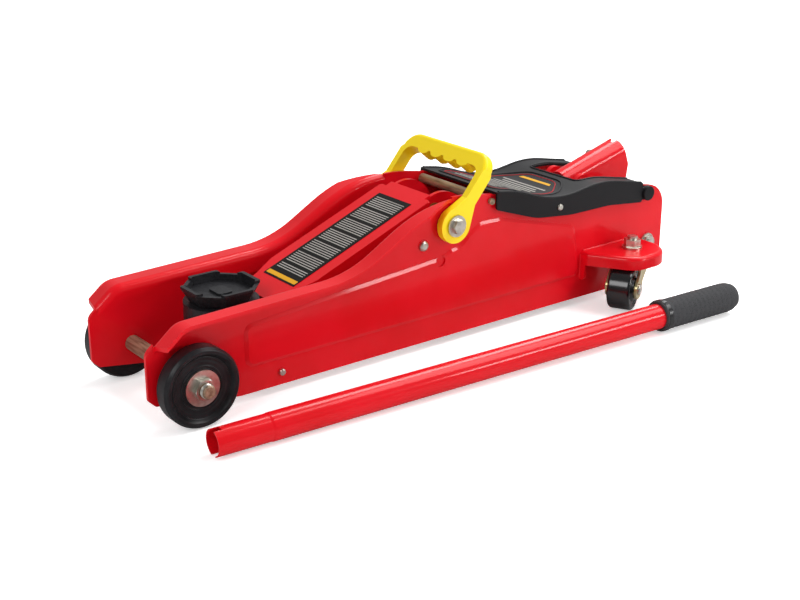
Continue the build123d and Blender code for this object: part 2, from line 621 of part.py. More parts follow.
# ---- Hydraulic unit ---------------------------------------------------------------------
def pump_block():
    """Cast block that joins the plates and carries the ears of the handle socket."""
    side = PLATE_IN - FIT
    body = block(BLOCK_X, (-side, side), BLOCK_Z)
    body = chamfer(body.edges().filter_by(Axis.Y), 3)
    ear_face = hull([(SOCKET_PIVOT, EAR_BOSS_R), ((SOCKET_PIVOT[0], BLOCK_Z[1] - 4), EAR_BOSS_R + 4)])
    ear = slab(ear_face, EAR_IN, EAR_IN + EAR_T) & block(BLOCK_X, (0, THROUGH), (BLOCK_Z[1] - 4, THROUGH))
    body += ear + mirrored(ear)
    body -= rod_y(SOCKET_PIN_R + FIT, -side, side, SOCKET_PIVOT)
    body -= rod_z(PLUNGER_R + FIT, BLOCK_Z[0] + 8, BLOCK_Z[1] + 1, (PLUNGER_X, 0))
    return body - spindle_rod(SPINDLE_R + FIT, KNUCKLE_R, SPINDLE_REACH + 2)


def spindle_rod(radius, start, end):
    """Rod on the release spindle's axis, between two distances from the socket's pivot."""
    length = end - start
    rod = Pos(start + length / 2, 0, 0) * Rot(0, 90, 0) * Cylinder(radius, length)
    return Pos(SOCKET_PIVOT[0], 0, SOCKET_PIVOT[1]) * Rot(0, SPINDLE_DEG, 0) * rod


def cylinder():
    tube = rod_x(CYL_R, BLOCK_X[1], CYL_FRONT, 0, UNIT_Z)
    return tube - rod_x(CYL_BORE_R, BLOCK_X[1] - 1, CYL_FRONT + 1, 0, UNIT_Z)


def reservoir():
    """Oil tank round the cylinder, closed by a ring at its front."""
    shell = rod_x(RESERVOIR_R, BLOCK_X[1], RESERVOIR_FRONT, 0, UNIT_Z)
    hollow = rod_x(RESERVOIR_R - RESERVOIR_T, BLOCK_X[1] - 1, RESERVOIR_FRONT - 4, 0, UNIT_Z)
    return shell - hollow - rod_x(CYL_R + FIT, BLOCK_X[1] - 1, RESERVOIR_FRONT + 1, 0, UNIT_Z)


def cylinder_gland():
    """Screwed cap that guides the ram at the cylinder's mouth."""
    cap = rod_x(GLAND_R, CYL_FRONT - GLAND_T, CYL_FRONT + 2, 0, UNIT_Z)
    cap -= rod_x(CYL_R + FIT, CYL_FRONT - GLAND_T - 1, CYL_FRONT, 0, UNIT_Z)
    return cap - rod_x(RAM_R + FIT, CYL_FRONT - 1, CYL_FRONT + 9, 0, UNIT_Z)


def ram():
    """Piston, rod and the flat pad that pushes the crank roller."""
    rear = BLOCK_X[1] + PISTON_GAP
    piston = rod_x(CYL_BORE_R - FIT, rear, rear + PISTON_T, 0, UNIT_Z)
    rod = rod_x(RAM_R, rear + 1, PAD_FACE - 1, 0, UNIT_Z)
    return piston + rod + rod_x(PAD_R, PAD_FACE - PAD_T, PAD_FACE, 0, UNIT_Z)


def ram_crosshead():
    """Cross bar clamped on the ram, with the front ends of the return springs hooked on."""
    tip = SPRING_Y + SPRING_R
    bar = block((CROSS_BACK, CROSS_BACK + CROSS_T), (-tip, tip), (UNIT_Z - 6, UNIT_Z + 6))
    bar += rod_x(RAM_R + 5, CROSS_BACK, CROSS_BACK + CROSS_T, 0, UNIT_Z)
    return bar - rod_x(RAM_R + FIT, CROSS_BACK - 1, CROSS_BACK + CROSS_T + 1, 0, UNIT_Z)


def return_spring():
    """Space taken by the coils of a return spring, as a plain tube."""
    tube = rod_x(SPRING_R, SPRING_REAR, CROSS_BACK, SPRING_Y, UNIT_Z)
    return tube - rod_x(SPRING_R - SPRING_WIRE, SPRING_REAR - 1, CROSS_BACK + 1, SPRING_Y, UNIT_Z)


def spring_anchor():
    """Stud on the block that holds the rear end of a return spring."""
    stud = rod_x(SPRING_R - SPRING_WIRE - GAP, BLOCK_X[1], SPRING_REAR + 4, SPRING_Y, UNIT_Z)
    return stud + rod_x(SPRING_R, BLOCK_X[1], SPRING_REAR, SPRING_Y, UNIT_Z)


def filler_plug():
    """Oil plug on top of the reservoir."""
    at = (BLOCK_X[1] + 30, 0)
    top = UNIT_Z + RESERVOIR_R
    neck = rod_z(6, top - 4, top + 2, at) - rod_x(RESERVOIR_R, BLOCK_X[1], RESERVOIR_FRONT, 0, UNIT_Z)
    return neck + rod_z(8, top + 1, top + 5, at)


# ---- Handle socket, pump plunger and release spindle ---------------------------------------
def socket_place(shape):
    """Moves a shape drawn along +x from the pivot onto the socket's tilted axis."""
    tilt = Rot(0, SOCKET_TILT_DEG, 0) * Rot(0, 0, 180)
    return Pos(SOCKET_PIVOT[0], 0, SOCKET_PIVOT[1]) * tilt * shape


def bell(radius, rise, half, drop, x):
    """Section across the socket: a round back on sides that spread downwards."""
    corner = 2.0
    low = corner - drop
    arcs = [((0, rise), radius), ((corner - half, low), corner), ((half - corner, low), corner)]
    return Pos(x, 0, 0) * Rot(0, 0, 90) * Rot(90, 0, 0) * hull(arcs)


def socket_shell(wall, drop):
    """The pressed back and skirt of the socket, taken in by a wall all round."""
    half = CHEEK_IN + CHEEK_T - wall
    nose = bell(NOSE_R - wall, NOSE_RISE, half, drop, -SOCKET_NOSE - 2)
    mouth = bell(SOCKET_R - wall, 0, half, drop, SOCKET_MOUTH + 2)
    return loft([nose, mouth], ruled=True)


def handle_socket():
    """Pressed channel on the block's ears, with the bore for the pump handle in its back."""
    profile = outline(
        [(-SOCKET_NOSE, -9), (-SOCKET_NOSE, 2 * SOCKET_R), (SOCKET_MOUTH, 2 * SOCKET_R), (SOCKET_MOUTH, -11),
         (SOCKET_MOUTH - 5, -20), (SOCKET_MOUTH - 9, -SKIRT_DROP), (-PRESS_PIN[0] - 12, -SKIRT_DROP)],
        [8, 0, 0, 4, 6, 5, 6])
    body = socket_shell(0, SKIRT_DROP + 6) & slab(profile, -2 * SOCKET_R, 2 * SOCKET_R)
    bulkhead = SOCKET_START - BULKHEAD_T
    side = (-2 * SOCKET_R, 2 * SOCKET_R)
    front = block((-SOCKET_NOSE - 1, bulkhead), side, (-3 * SOCKET_R, 2 * SOCKET_R))
    under = block((bulkhead - 1, SOCKET_MOUTH + 1), side, (-3 * SOCKET_R, -SOCKET_R))
    body -= socket_shell(SOCKET_T, SKIRT_DROP + 9) & (front + under)
    body -= rod_x(KNUCKLE_R + 1, bulkhead, SOCKET_START + 1, 0, 0)
    bore_r = HANDLE_END_R + HANDLE_CLEAR
    body -= rod_x(bore_r, SOCKET_START, SOCKET_MOUTH + 1, 0, 0)
    body -= rod_x(bore_r + KEY_ROOM[1], SOCKET_START, SOCKET_START + KEY_ROOM[0], 0, 0)
    body -= block((SOCKET_MOUTH - 6, SOCKET_MOUTH + 1), (-4, 4), (0, 2 * SOCKET_R))
    body -= rod_y(3 + FIT, 0, 2 * SOCKET_R, (SOCKET_MOUTH - 18, 0))
    body -= rod_y(SOCKET_PIN_R + FIT, *side, (0, 0))
    body = socket_place(body)
    return body - rod_y(PRESS_PIN_R - 1 + FIT, *side, plus(SOCKET_PIVOT, PRESS_PIN))


def socket_screw():
    """Screw through the socket's right side that locks the pump handle."""
    at = (SOCKET_MOUTH - 18, 0)
    seat = CHEEK_IN + CHEEK_T
    shank = rod_y(3, HANDLE_END_R + HANDLE_CLEAR + 0.2, seat + 1, at)
    return socket_place(shank + rod_y(5.5, seat, seat + 5, at))


def socket_pin():
    """Stub pin through an ear and a cheek."""
    inner = CHEEK_IN - 1.5
    outer = EAR_IN + EAR_T + 1.5
    head = rod_y(SOCKET_PIN_R + 2, outer - 1.5, outer + 2, SOCKET_PIVOT)
    return rod_y(SOCKET_PIN_R, inner, outer, SOCKET_PIVOT) + head


def press_pin():
    """Cross pin between the cheeks, with a wide middle that presses on the plunger's cap."""
    at = plus(SOCKET_PIVOT, PRESS_PIN)
    end = CHEEK_IN + CHEEK_T
    middle = CHEEK_IN - 3
    return rod_y(PRESS_PIN_R - 1, -end, end, at) + rod_y(PRESS_PIN_R, -middle, middle, at)


def pump_plunger():
    rod = rod_z(PLUNGER_R, BLOCK_Z[0] + 10, CAP_TOP - 1, (PLUNGER_X, 0))
    return rod + rod_z(CAP_R, CAP_TOP - CAP_T, CAP_TOP, (PLUNGER_X, 0))


def pump_barrel():
    """Collar in the block's top that guides the plunger."""
    ring = rod_z(BARREL_R, BLOCK_Z[1], BLOCK_Z[1] + BARREL_H, (PLUNGER_X, 0))
    return ring - rod_z(PLUNGER_R + FIT, BLOCK_Z[0], THROUGH, (PLUNGER_X, 0))


def plunger_spring():
    """Space taken by the coils of the plunger's spring, as a plain tube."""
    low = BLOCK_Z[1] + BARREL_H
    ring = rod_z(CAP_R - 0.5, low, CAP_TOP - CAP_T, (PLUNGER_X, 0))
    return ring - rod_z(PLUNGER_R + 1, low - 1, CAP_TOP, (PLUNGER_X, 0))


def release_spindle():
    """Valve spindle in the block, with the lower half of a universal joint."""
    stem = spindle_rod(SPINDLE_R, KNUCKLE_R, SPINDLE_REACH)
    yoke = spindle_rod(KNUCKLE_R, KNUCKLE_R + GAP, KNUCKLE_R + 12)
    return stem + yoke


def release_key():
    """Upper half of the joint, with the cross key that the handle's notch turns."""
    ball = Sphere(KNUCKLE_R)
    tip = SOCKET_START + KEY_L
    stem = rod_x(5, 0, tip, 0, 0)
    key = block((SOCKET_START - 2, tip), (-3, 3), (-KNUCKLE_R, KNUCKLE_R))
    return socket_place(ball + stem + key)


# ---- Cover ------------------------------------------------------------------------------
def cover():
    """Sheet cover over the hydraulic unit, with skirts outside the plates."""
    lift = COVER_SEAT
    top_line = offset(plate_face(), lift + COVER_T) - offset(plate_face(), lift)
    top = slab(top_line, -COVER_OUT, COVER_OUT)
    top &= block((COVER_REAR, COVER_FRONT), (-THROUGH, THROUGH), (COVER_LOW, THROUGH))
    skirt_face = outline(
        [(COVER_FRONT, THROUGH), *COVER_SKIRT, (COVER_REAR, THROUGH)], [0, *COVER_SKIRT_RADII, 0])
    skirt = slab(skirt_face & offset(plate_face(), lift + COVER_T), COVER_OUT - COVER_T, COVER_OUT)
    shell = top + skirt + mirrored(skirt)
    shell -= block(
        (COVER_REAR - 1, COVER_OPENING_X), (-COVER_OPENING_HALF, COVER_OPENING_HALF), (0, THROUGH))
    ear = rod_y(COVER_PIN_R, COVER_OUT - COVER_T, COVER_OUT, COVER_PIN)
    bridge_z = (COVER_PIN[1] - COVER_BRIDGE_HALF, COVER_PIN[1] + COVER_BRIDGE_HALF)
    bridge = block((COVER_PIN[0], COVER_REAR + 1), (COVER_OUT - COVER_T, COVER_OUT), bridge_z)
    shell += ear + bridge + mirrored(ear + bridge)
    for at, radius in ((COVER_PIN, 4.0), (COVER_SCREW, 2.5)):
        shell -= rod_y(radius + FIT, -THROUGH, THROUGH, at)
    return shell


def cover_pin():
    """Shouldered pin through the plate, with a wide flat head outside the cover's ear."""
    shank = rod_y(4, PLATE_IN - 1.5, COVER_OUT + 1, COVER_PIN)
    collar = rod_y(COVER_PIN_R - 1, PLATE_OUT, COVER_OUT - COVER_T, COVER_PIN)
    return shank + collar + domed_rod(COVER_PIN_R, COVER_OUT, COVER_OUT + 3, COVER_PIN, 1)


def cover_screw():
    shank = rod_y(2.5, PLATE_IN - 3, COVER_OUT + 1, COVER_SCREW)
    collar = rod_y(5, PLATE_OUT, COVER_OUT - COVER_T, COVER_SCREW)
    return shank + collar + domed_rod(3.2, COVER_OUT, COVER_OUT + 1.5, COVER_SCREW, 1)


# ---- Carry handle -----------------------------------------------------------------------
def carry_handle():
    """Strap handle: two eyes, two legs and a bar with finger grooves."""
    outer = GRIP_IN + GRIP_T
    leg_face = hull([((0, 0), GRIP_LEG / 2), ((0, GRIP_REACH - 20), GRIP_LEG / 2)])
    leg_face += hull([((0, 0), GRIP_EYE_R), ((0, GRIP_EYE_R * 1.5), GRIP_LEG / 2)])
    leg = slab(leg_face, GRIP_IN, outer)
    arch = outline(
        [(-outer, 30), (-outer, GRIP_REACH), (outer, GRIP_REACH), (outer, 30)],
        [0, GRIP_CORNER_R, GRIP_CORNER_R, 0])
    inner_half = GRIP_IN
    inner_top = GRIP_REACH - GRIP_BAR
    arch -= outline(
        [(-inner_half, 29), (-inner_half, inner_top), (inner_half, inner_top), (inner_half, 29)],
        [0, GRIP_CORNER_R - GRIP_T, GRIP_CORNER_R - GRIP_T, 0])
    for index in range(4):
        arch += Pos((index - 1.5) * GRIP_BUMP_STEP, inner_top + 1) * Ellipse(GRIP_BUMP_STEP * 0.42, 5)
    bar = Rot(0, 0, 90) * Rot(90, 0, 0) * extrude(arch, GRIP_LEG / 2, both=True)
    bar = fillet(bar.edges().filter_by(lambda e: e.length > 60 and e.center().Z > GRIP_REACH - 1), 4)
    handle = leg + mirrored(leg) + bar
    handle = Rot(0, -GRIP_TILT_DEG, 0) * handle
    handle = Pos(ARM_PIVOT[0], 0, ARM_PIVOT[1]) * handle
    return handle - rod_y(GRIP_BOLT_R + FIT, -THROUGH, THROUGH, ARM_PIVOT)


# ---- Casters ----------------------------------------------------------------------------
def caster_bracket():
    """Welded bracket: a lobed plate with a turned-down rim and a deep wall at its front."""
    sx, sy = SWIVEL
    round_end = LOBE_R - 1
    edge = PLATE_OUT + TAB_REACH
    plan = outline(
        [(TAB_FRONT, PLATE_OUT), (sx - LOBE_R, PLATE_OUT), (sx - LOBE_R, sy + LOBE_R),
         (sx + LOBE_R * 0.75, sy + LOBE_R), (TAB_FRONT, edge)],
        [0, 0, round_end, round_end * 0.8, 5])
    plate = Pos(0, 0, BRACKET_RIM) * extrude(plan, BRACKET_TOP - BRACKET_RIM)
    pocket = extrude(offset(plan, -BRACKET_WALL), BRACKET_TOP - BRACKET_T - BRACKET_RIM + 1)
    plate -= Pos(0, 0, BRACKET_RIM - 1) * pocket
    upper = [e for e in plate.edges() if abs(e.center().Z - BRACKET_TOP) < 0.01
             and e.center().Y > PLATE_OUT + 0.1]
    plate = fillet(upper, BRACKET_BEND_R)
    wall = block((TAB_FRONT - BRACKET_WALL, TAB_FRONT), (PLATE_OUT, edge - 3), (TAB_LOW, BRACKET_TOP - 5))
    wall = fillet(wall.edges().filter_by(Axis.X).sort_by(Axis.Z)[:2].sort_by(Axis.Y)[-1], 5)
    plate = plate + wall
    plate &= block((PLATE_REAR, 0), (PLATE_OUT + FIT, THROUGH), (0, THROUGH))
    return plate - rod_z(SWIVEL_BOLT_R + FIT, 0, THROUGH, SWIVEL)


def caster_bolt():
    """Swivel bolt with its hexagon nut and washer above the bracket."""
    shank = rod_z(SWIVEL_BOLT_R, FORK_TOP - FORK_T - 1.5, BRACKET_TOP + 12, SWIVEL)
    washer = rod_z(10, BRACKET_TOP, BRACKET_TOP + 1.8, SWIVEL)
    nut = Pos(*SWIVEL, BRACKET_TOP + 1) * extrude(RegularPolygon(8.4, 6), 8)
    head = rod_z(SWIVEL_BOLT_R + 3, FORK_TOP - FORK_T - 4, FORK_TOP - FORK_T - GAP, SWIVEL)
    return shank + washer + nut + head


def caster_place(shape):
    """Moves a shape drawn with its trail along +x onto the left swivel axis."""
    return Pos(*SWIVEL, 0) * Rot(0, 0, CASTER_DEG) * shape


def caster_fork():
    """Pressed fork with a bearing cup on top."""
    side_in = CASTER_W / 2 + 0.8
    front, rear = CASTER_TRAIL + FORK_END_R, CASTER_TRAIL - FORK_END_R
    leg_face = outline(
        [(-11, FORK_TOP), (19, FORK_TOP), (20, 38), (front, CASTER_R + 4), (front, CASTER_R - FORK_END_R),
         (rear, CASTER_R - FORK_END_R), (rear - 3, CASTER_R + 6), (-6, 36)],
        [2, 2, 6, 6, FORK_END_R * 0.9, FORK_END_R * 0.9, 5, 8])
    leg = slab(leg_face, side_in, side_in + FORK_T)
    top = block((-11, 19), (-side_in - FORK_T, side_in + FORK_T), (FORK_TOP - FORK_T, FORK_TOP))
    top = chamfer(top.edges().filter_by(Axis.Z), 4)
    cup = rod_z(15, FORK_TOP - 1, BRACKET_TOP - BRACKET_T - GAP, (0, 0))
    fork = leg + mirrored(leg) + top + cup
    fork -= rod_z(SWIVEL_BOLT_R + FIT, 0, THROUGH, (0, 0))
    return caster_place(fork - rod_y(CASTER_AXLE_R + FIT, -THROUGH, THROUGH, (CASTER_TRAIL, CASTER_R)))


def caster_axle():
    end = CASTER_W / 2 + FORK_T + 0.8
    axle = rod_y(CASTER_AXLE_R, -end, end, (CASTER_TRAIL, CASTER_R))
    head = domed_rod(CASTER_AXLE_R + 2, end, end + 2, (CASTER_TRAIL, CASTER_R), 1.5)
    return caster_place(axle + head + mirrored(head))


def caster_wheel():
    half = CASTER_W / 2
    face = outline(
        [(CASTER_AXLE_R + FIT, -half), (CASTER_R * 0.5, -half), (CASTER_R * 0.6, -half + 2.5),
         (CASTER_R * 0.82, -half + 2.5), (CASTER_R - 2, -half), (CASTER_R, -half + 3),
         (CASTER_R, half - 3), (CASTER_R - 2, half), (CASTER_R * 0.82, half - 2.5),
         (CASTER_R * 0.6, half - 2.5), (CASTER_R * 0.5, half), (CASTER_AXLE_R + FIT, half)],
        [0, 1, 1, 1, 1.5, 2, 2, 1.5, 1, 1, 1, 0])
    return caster_place(Pos(CASTER_TRAIL, 0, CASTER_R) * revolve(face, Axis.Y))


# ---- Loose pump handle ------------------------------------------------------------------
COLLAR_R = GRIP_TUBE_R + 0.8
BAR_RISE_DEG = degrees(asin((COLLAR_R - HANDLE_R) / (BAR_LENGTH - GRIP_TUBE_L)))


def bar_place(shape):
    """Moves a shape drawn along +x from the open end onto the floor beside the jack.

    The bar lies on the edge of its open end and on the grip's collar, which is wider.
    """
    end_z = HANDLE_R * cos(radians(BAR_RISE_DEG))
    return Pos(*BAR_START, end_z) * Rot(0, 0, BAR_DEG) * Rot(0, -BAR_RISE_DEG, 0) * shape


def handle_bar():
    """Round tube, notched at its open end, closed inside the hand grip."""
    end = BAR_LENGTH - 3
    side = make_face(Polyline(
        (0, 0), (0, HANDLE_END_R), (BAR_SPIGOT[0], HANDLE_END_R), (BAR_SPIGOT[1], HANDLE_R), (end, HANDLE_R),
        (end, 0), close=True))
    tube = revolve(side, Axis.X) - rod_x(HANDLE_R - BAR_WALL, -1, end - 2, 0, 0)
    width, depth = BAR_NOTCH
    return bar_place(tube - block((-1, depth), (-width / 2, width / 2), (-30, 30)))


def handle_grip():
    """Foam sleeve with a collar at its front and a rounded end, its underside at the bar's."""
    start = BAR_LENGTH - GRIP_TUBE_L
    sleeve = rod_x(GRIP_TUBE_R, start, BAR_LENGTH, 0, 0)
    sleeve = fillet(sleeve.edges().sort_by(Axis.X)[-1], 5)
    sleeve += rod_x(COLLAR_R, start, start + 8, 0, 0)
    return bar_place(sleeve - rod_x(HANDLE_R + FIT, start - 1, BAR_LENGTH - 3 + FIT, 0, 0))


# ---- All nodes --------------------------------------------------------------------------
nodes = {
    "side_plate_left": side_plate(),
    "front_axle": front_axle(),
    "axle_washers": pair(axle_washer()),
    "axle_nuts": pair(axle_nut()),
    "wheel_spacers": pair(wheel_spacer()),
    "front_wheel_left": front_wheel(),
    "front_tie_rod": front_tie_rod(),
    "upper_tie_rod": upper_tie_rod(),
    "side_rivets": pair(side_rivet()),
    "rear_tie_bolt": rear_tie_bolt(),
    "rear_tie_nuts": pair(rear_tie_nut()),
    "arm_shaft": arm_shaft(),
    "handle_bolts": pair(handle_bolt()),
    "link_anchor_pins": pair(link_anchor_pin()),
    "lift_arm": lift_arm(),
    "arm_bushes": pair(arm_bush()),
    "arm_label": arm_label(),
    "crank_pin": crank_pin(),
    "crank_roller": crank_roller(),
    "saddle_pin": saddle_pin(),
    "saddle_carrier": saddle_carrier(),
    "link_pin": link_pin(),
    "saddle": saddle(),
    "link_bars": pair(link_bar()),
    "pump_block": pump_block(),
    "cylinder": cylinder(),
    "reservoir": reservoir(),
    "cylinder_gland": cylinder_gland(),
    "ram": ram(),
    "ram_crosshead": ram_crosshead(),
    "return_springs": pair(return_spring()),
    "spring_anchors": pair(spring_anchor()),
    "filler_plug": filler_plug(),
    "handle_socket": handle_socket(),
    "socket_screw": socket_screw(),
    "socket_pins": pair(socket_pin()),
    "press_pin": press_pin(),
    "pump_plunger": pump_plunger(),
    "pump_barrel": pump_barrel(),
    "plunger_spring": plunger_spring(),
    "release_spindle": release_spindle(),
    "release_key": release_key(),
    "cover": cover(),
    "cover_pins": pair(cover_pin()),
    "cover_screws": pair(cover_screw()),
    "carry_handle": carry_handle(),
    "caster_bracket_left": caster_bracket(),
    "caster_bolts": pair(caster_bolt()),
    "caster_fork_left": caster_fork(),
    "caster_axle_left": caster_axle(),
    "caster_wheel_left": caster_wheel(),
    "handle_bar": handle_bar(),
    "handle_grip": handle_grip(),
}
for name in [name for name in nodes if name.endswith("_left")]:
    nodes[name.replace("_left", "_right")] = mirrored(nodes[name])

# The origin goes to the middle of the bottom of the set's bounding box.
boxes = [shape.bounding_box() for shape in nodes.values()]
x_mid = (min(b.min.X for b in boxes) + max(b.max.X for b in boxes)) / 2
y_mid = (min(b.min.Y for b in boxes) + max(b.max.Y for b in boxes)) / 2
z_low = min(b.min.Z for b in boxes)
ORIGIN = (x_mid, y_mid, z_low)

for name, shape in nodes.items():
    export_step(Pos(-x_mid, -y_mid, -z_low) * shape, f"parts/{name}.step")
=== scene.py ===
import bpy
import json
from math import atan, cos, pi, radians, sin
from mathutils import Matrix, Vector


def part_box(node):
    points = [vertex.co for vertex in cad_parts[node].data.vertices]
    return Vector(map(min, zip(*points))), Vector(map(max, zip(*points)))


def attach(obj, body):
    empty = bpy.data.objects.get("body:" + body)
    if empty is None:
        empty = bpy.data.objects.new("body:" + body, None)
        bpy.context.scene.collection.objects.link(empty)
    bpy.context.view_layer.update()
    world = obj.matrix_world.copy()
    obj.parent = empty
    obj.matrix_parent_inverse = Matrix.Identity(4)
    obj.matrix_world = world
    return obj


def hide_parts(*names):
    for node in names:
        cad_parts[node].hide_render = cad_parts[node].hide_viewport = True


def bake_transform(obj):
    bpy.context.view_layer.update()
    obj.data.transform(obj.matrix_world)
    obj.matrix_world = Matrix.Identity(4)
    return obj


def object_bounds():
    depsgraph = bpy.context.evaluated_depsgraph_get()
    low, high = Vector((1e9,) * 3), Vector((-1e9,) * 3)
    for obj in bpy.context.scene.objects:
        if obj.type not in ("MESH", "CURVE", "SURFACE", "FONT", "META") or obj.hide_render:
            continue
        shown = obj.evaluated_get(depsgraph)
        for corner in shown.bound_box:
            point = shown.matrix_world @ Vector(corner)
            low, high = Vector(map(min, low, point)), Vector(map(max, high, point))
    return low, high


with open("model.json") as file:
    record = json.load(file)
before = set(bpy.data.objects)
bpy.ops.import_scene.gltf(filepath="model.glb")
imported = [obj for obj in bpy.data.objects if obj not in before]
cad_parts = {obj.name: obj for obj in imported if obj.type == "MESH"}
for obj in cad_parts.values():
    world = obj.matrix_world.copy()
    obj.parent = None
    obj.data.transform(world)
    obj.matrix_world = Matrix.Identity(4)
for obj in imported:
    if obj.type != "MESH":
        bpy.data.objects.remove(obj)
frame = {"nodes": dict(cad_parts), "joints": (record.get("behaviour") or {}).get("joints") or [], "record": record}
nodes = frame["nodes"]
cad_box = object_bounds()
MM = 0.001
SIDES = ((1, "left"), (-1, "right"))    # the jack's left side is towards +y


# ---- Small tools ------------------------------------------------------------------------
def hex_colour(text):
    """sRGB hex to linear RGBA."""
    def channel(pair):
        """One channel of the curve that defines sRGB."""
        value = int(pair, 16) / 255
        return value / 12.92 if value <= 0.04045 else ((value + 0.055) / 1.055) ** 2.4
    return (channel(text[0:2]), channel(text[2:4]), channel(text[4:6]), 1.0)


def start_material(name):
    """A new material, with its node tree and its shader."""
    material = bpy.data.materials.new(name)
    material.use_nodes = True
    tree = material.node_tree
    return material, tree, tree.nodes["Principled BSDF"]


def add_node(tree, kind, settings=None, **links):
    """Adds a node with its settings, and links that join sockets to inputs, by name or by number as i0."""
    node = tree.nodes.new(kind)
    for key, value in (settings or {}).items():
        if hasattr(node, key):
            setattr(node, key, value)
        else:
            node.inputs[key].default_value = value
    for key, socket in links.items():
        tree.links.new(socket, node.inputs[int(key[1:])] if key[1:].isdigit() else node.inputs[key])
    return node


def middle(name):
    """Centre of a CAD node's box."""
    low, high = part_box(name)
    return (low + high) / 2


def per_metre(millimetres):
    """Texture scale whose features are about this many millimetres across."""
    return 1000 / millimetres


# ---- Materials --------------------------------------------------------------------------
def enamel(name, colour, shade, peel_mm, roughness, coat):
    """Sprayed and baked enamel on sheet steel: glossy, with a faint orange-peel skin."""
    drift_mm = 70
    material, tree, shader = start_material(name)
    place = add_node(tree, "ShaderNodeTexCoord")
    cloud = add_node(tree, "ShaderNodeTexNoise", {"Scale": per_metre(drift_mm), "Detail": 3.0},
                     Vector=place.outputs["Object"])
    ramp = add_node(tree, "ShaderNodeValToRGB", None, Fac=cloud.outputs["Fac"])
    ramp.color_ramp.elements[0].position = 0.35
    ramp.color_ramp.elements[0].color = hex_colour(shade)
    ramp.color_ramp.elements[1].position = 0.65
    ramp.color_ramp.elements[1].color = hex_colour(colour)
    tree.links.new(ramp.outputs["Color"], shader.inputs["Base Color"])
    peel = add_node(tree, "ShaderNodeTexNoise", {"Scale": per_metre(peel_mm), "Detail": 2.0},
                    Vector=place.outputs["Object"])
    bump = add_node(tree, "ShaderNodeBump", {"Strength": 0.10, "Distance": 0.12 * MM},
                    Height=peel.outputs["Fac"])
    tree.links.new(bump.outputs["Normal"], shader.inputs["Normal"])
    shader.inputs["Roughness"].default_value = roughness
    shader.inputs["Specular IOR Level"].default_value = 0.10
    shader.inputs["Coat Weight"].default_value = coat
    shader.inputs["Coat Roughness"].default_value = 0.08
    return material


def painted_casting(name, colour, grain_mm, depth_mm, roughness):
    """Black paint on a rough casting: the sand's grain shows through the paint."""
    material, tree, shader = start_material(name)
    place = add_node(tree, "ShaderNodeTexCoord")
    grain = add_node(tree, "ShaderNodeTexNoise", {"Scale": per_metre(grain_mm), "Detail": 6.0},
                     Vector=place.outputs["Object"])
    ramp = add_node(tree, "ShaderNodeValToRGB", None, Fac=grain.outputs["Fac"])
    ramp.color_ramp.elements[0].position = 0.3
    ramp.color_ramp.elements[0].color = hex_colour("101012")
    ramp.color_ramp.elements[1].position = 0.75
    ramp.color_ramp.elements[1].color = hex_colour(colour)
    tree.links.new(ramp.outputs["Color"], shader.inputs["Base Color"])
    bump = add_node(tree, "ShaderNodeBump", {"Strength": 0.6, "Distance": depth_mm * MM},
                    Height=grain.outputs["Fac"])
    tree.links.new(bump.outputs["Normal"], shader.inputs["Normal"])
    shader.inputs["Roughness"].default_value = roughness
    shader.inputs["Specular IOR Level"].default_value = 0.3
    return material


def turned_wheel(name, colour, centre, axis, ring_mm, roughness):
    """Black moulded wheel with the rings that its mould was turned with, drawn coarse enough to show."""
    dust_mm = 9
    wave_period = 2 * pi / 20    # spacing of a wave texture's rings at scale 1
    material, tree, shader = start_material(name)
    place = add_node(tree, "ShaderNodeTexCoord")
    move = add_node(tree, "ShaderNodeVectorMath", {"operation": "SUBTRACT"},
                    i0=place.outputs["Object"])
    move.inputs[1].default_value = centre
    rings = add_node(tree, "ShaderNodeTexWave",
                     {"wave_type": "RINGS", "rings_direction": axis,
                      "Scale": per_metre(ring_mm) * wave_period, "Distortion": 0.4},
                     Vector=move.outputs["Vector"])
    dust = add_node(tree, "ShaderNodeTexNoise", {"Scale": per_metre(dust_mm), "Detail": 5.0},
                    Vector=place.outputs["Object"])
    ramp = add_node(tree, "ShaderNodeValToRGB", None, Fac=dust.outputs["Fac"])
    ramp.color_ramp.elements[0].color = hex_colour("0E0E10")
    ramp.color_ramp.elements[1].color = hex_colour(colour)
    tree.links.new(ramp.outputs["Color"], shader.inputs["Base Color"])
    bump = add_node(tree, "ShaderNodeBump", {"Strength": 0.5, "Distance": 0.35 * MM},
                    Height=rings.outputs["Fac"])
    tree.links.new(bump.outputs["Normal"], shader.inputs["Normal"])
    shader.inputs["Roughness"].default_value = roughness
    shader.inputs["Specular IOR Level"].default_value = 0.22
    return material


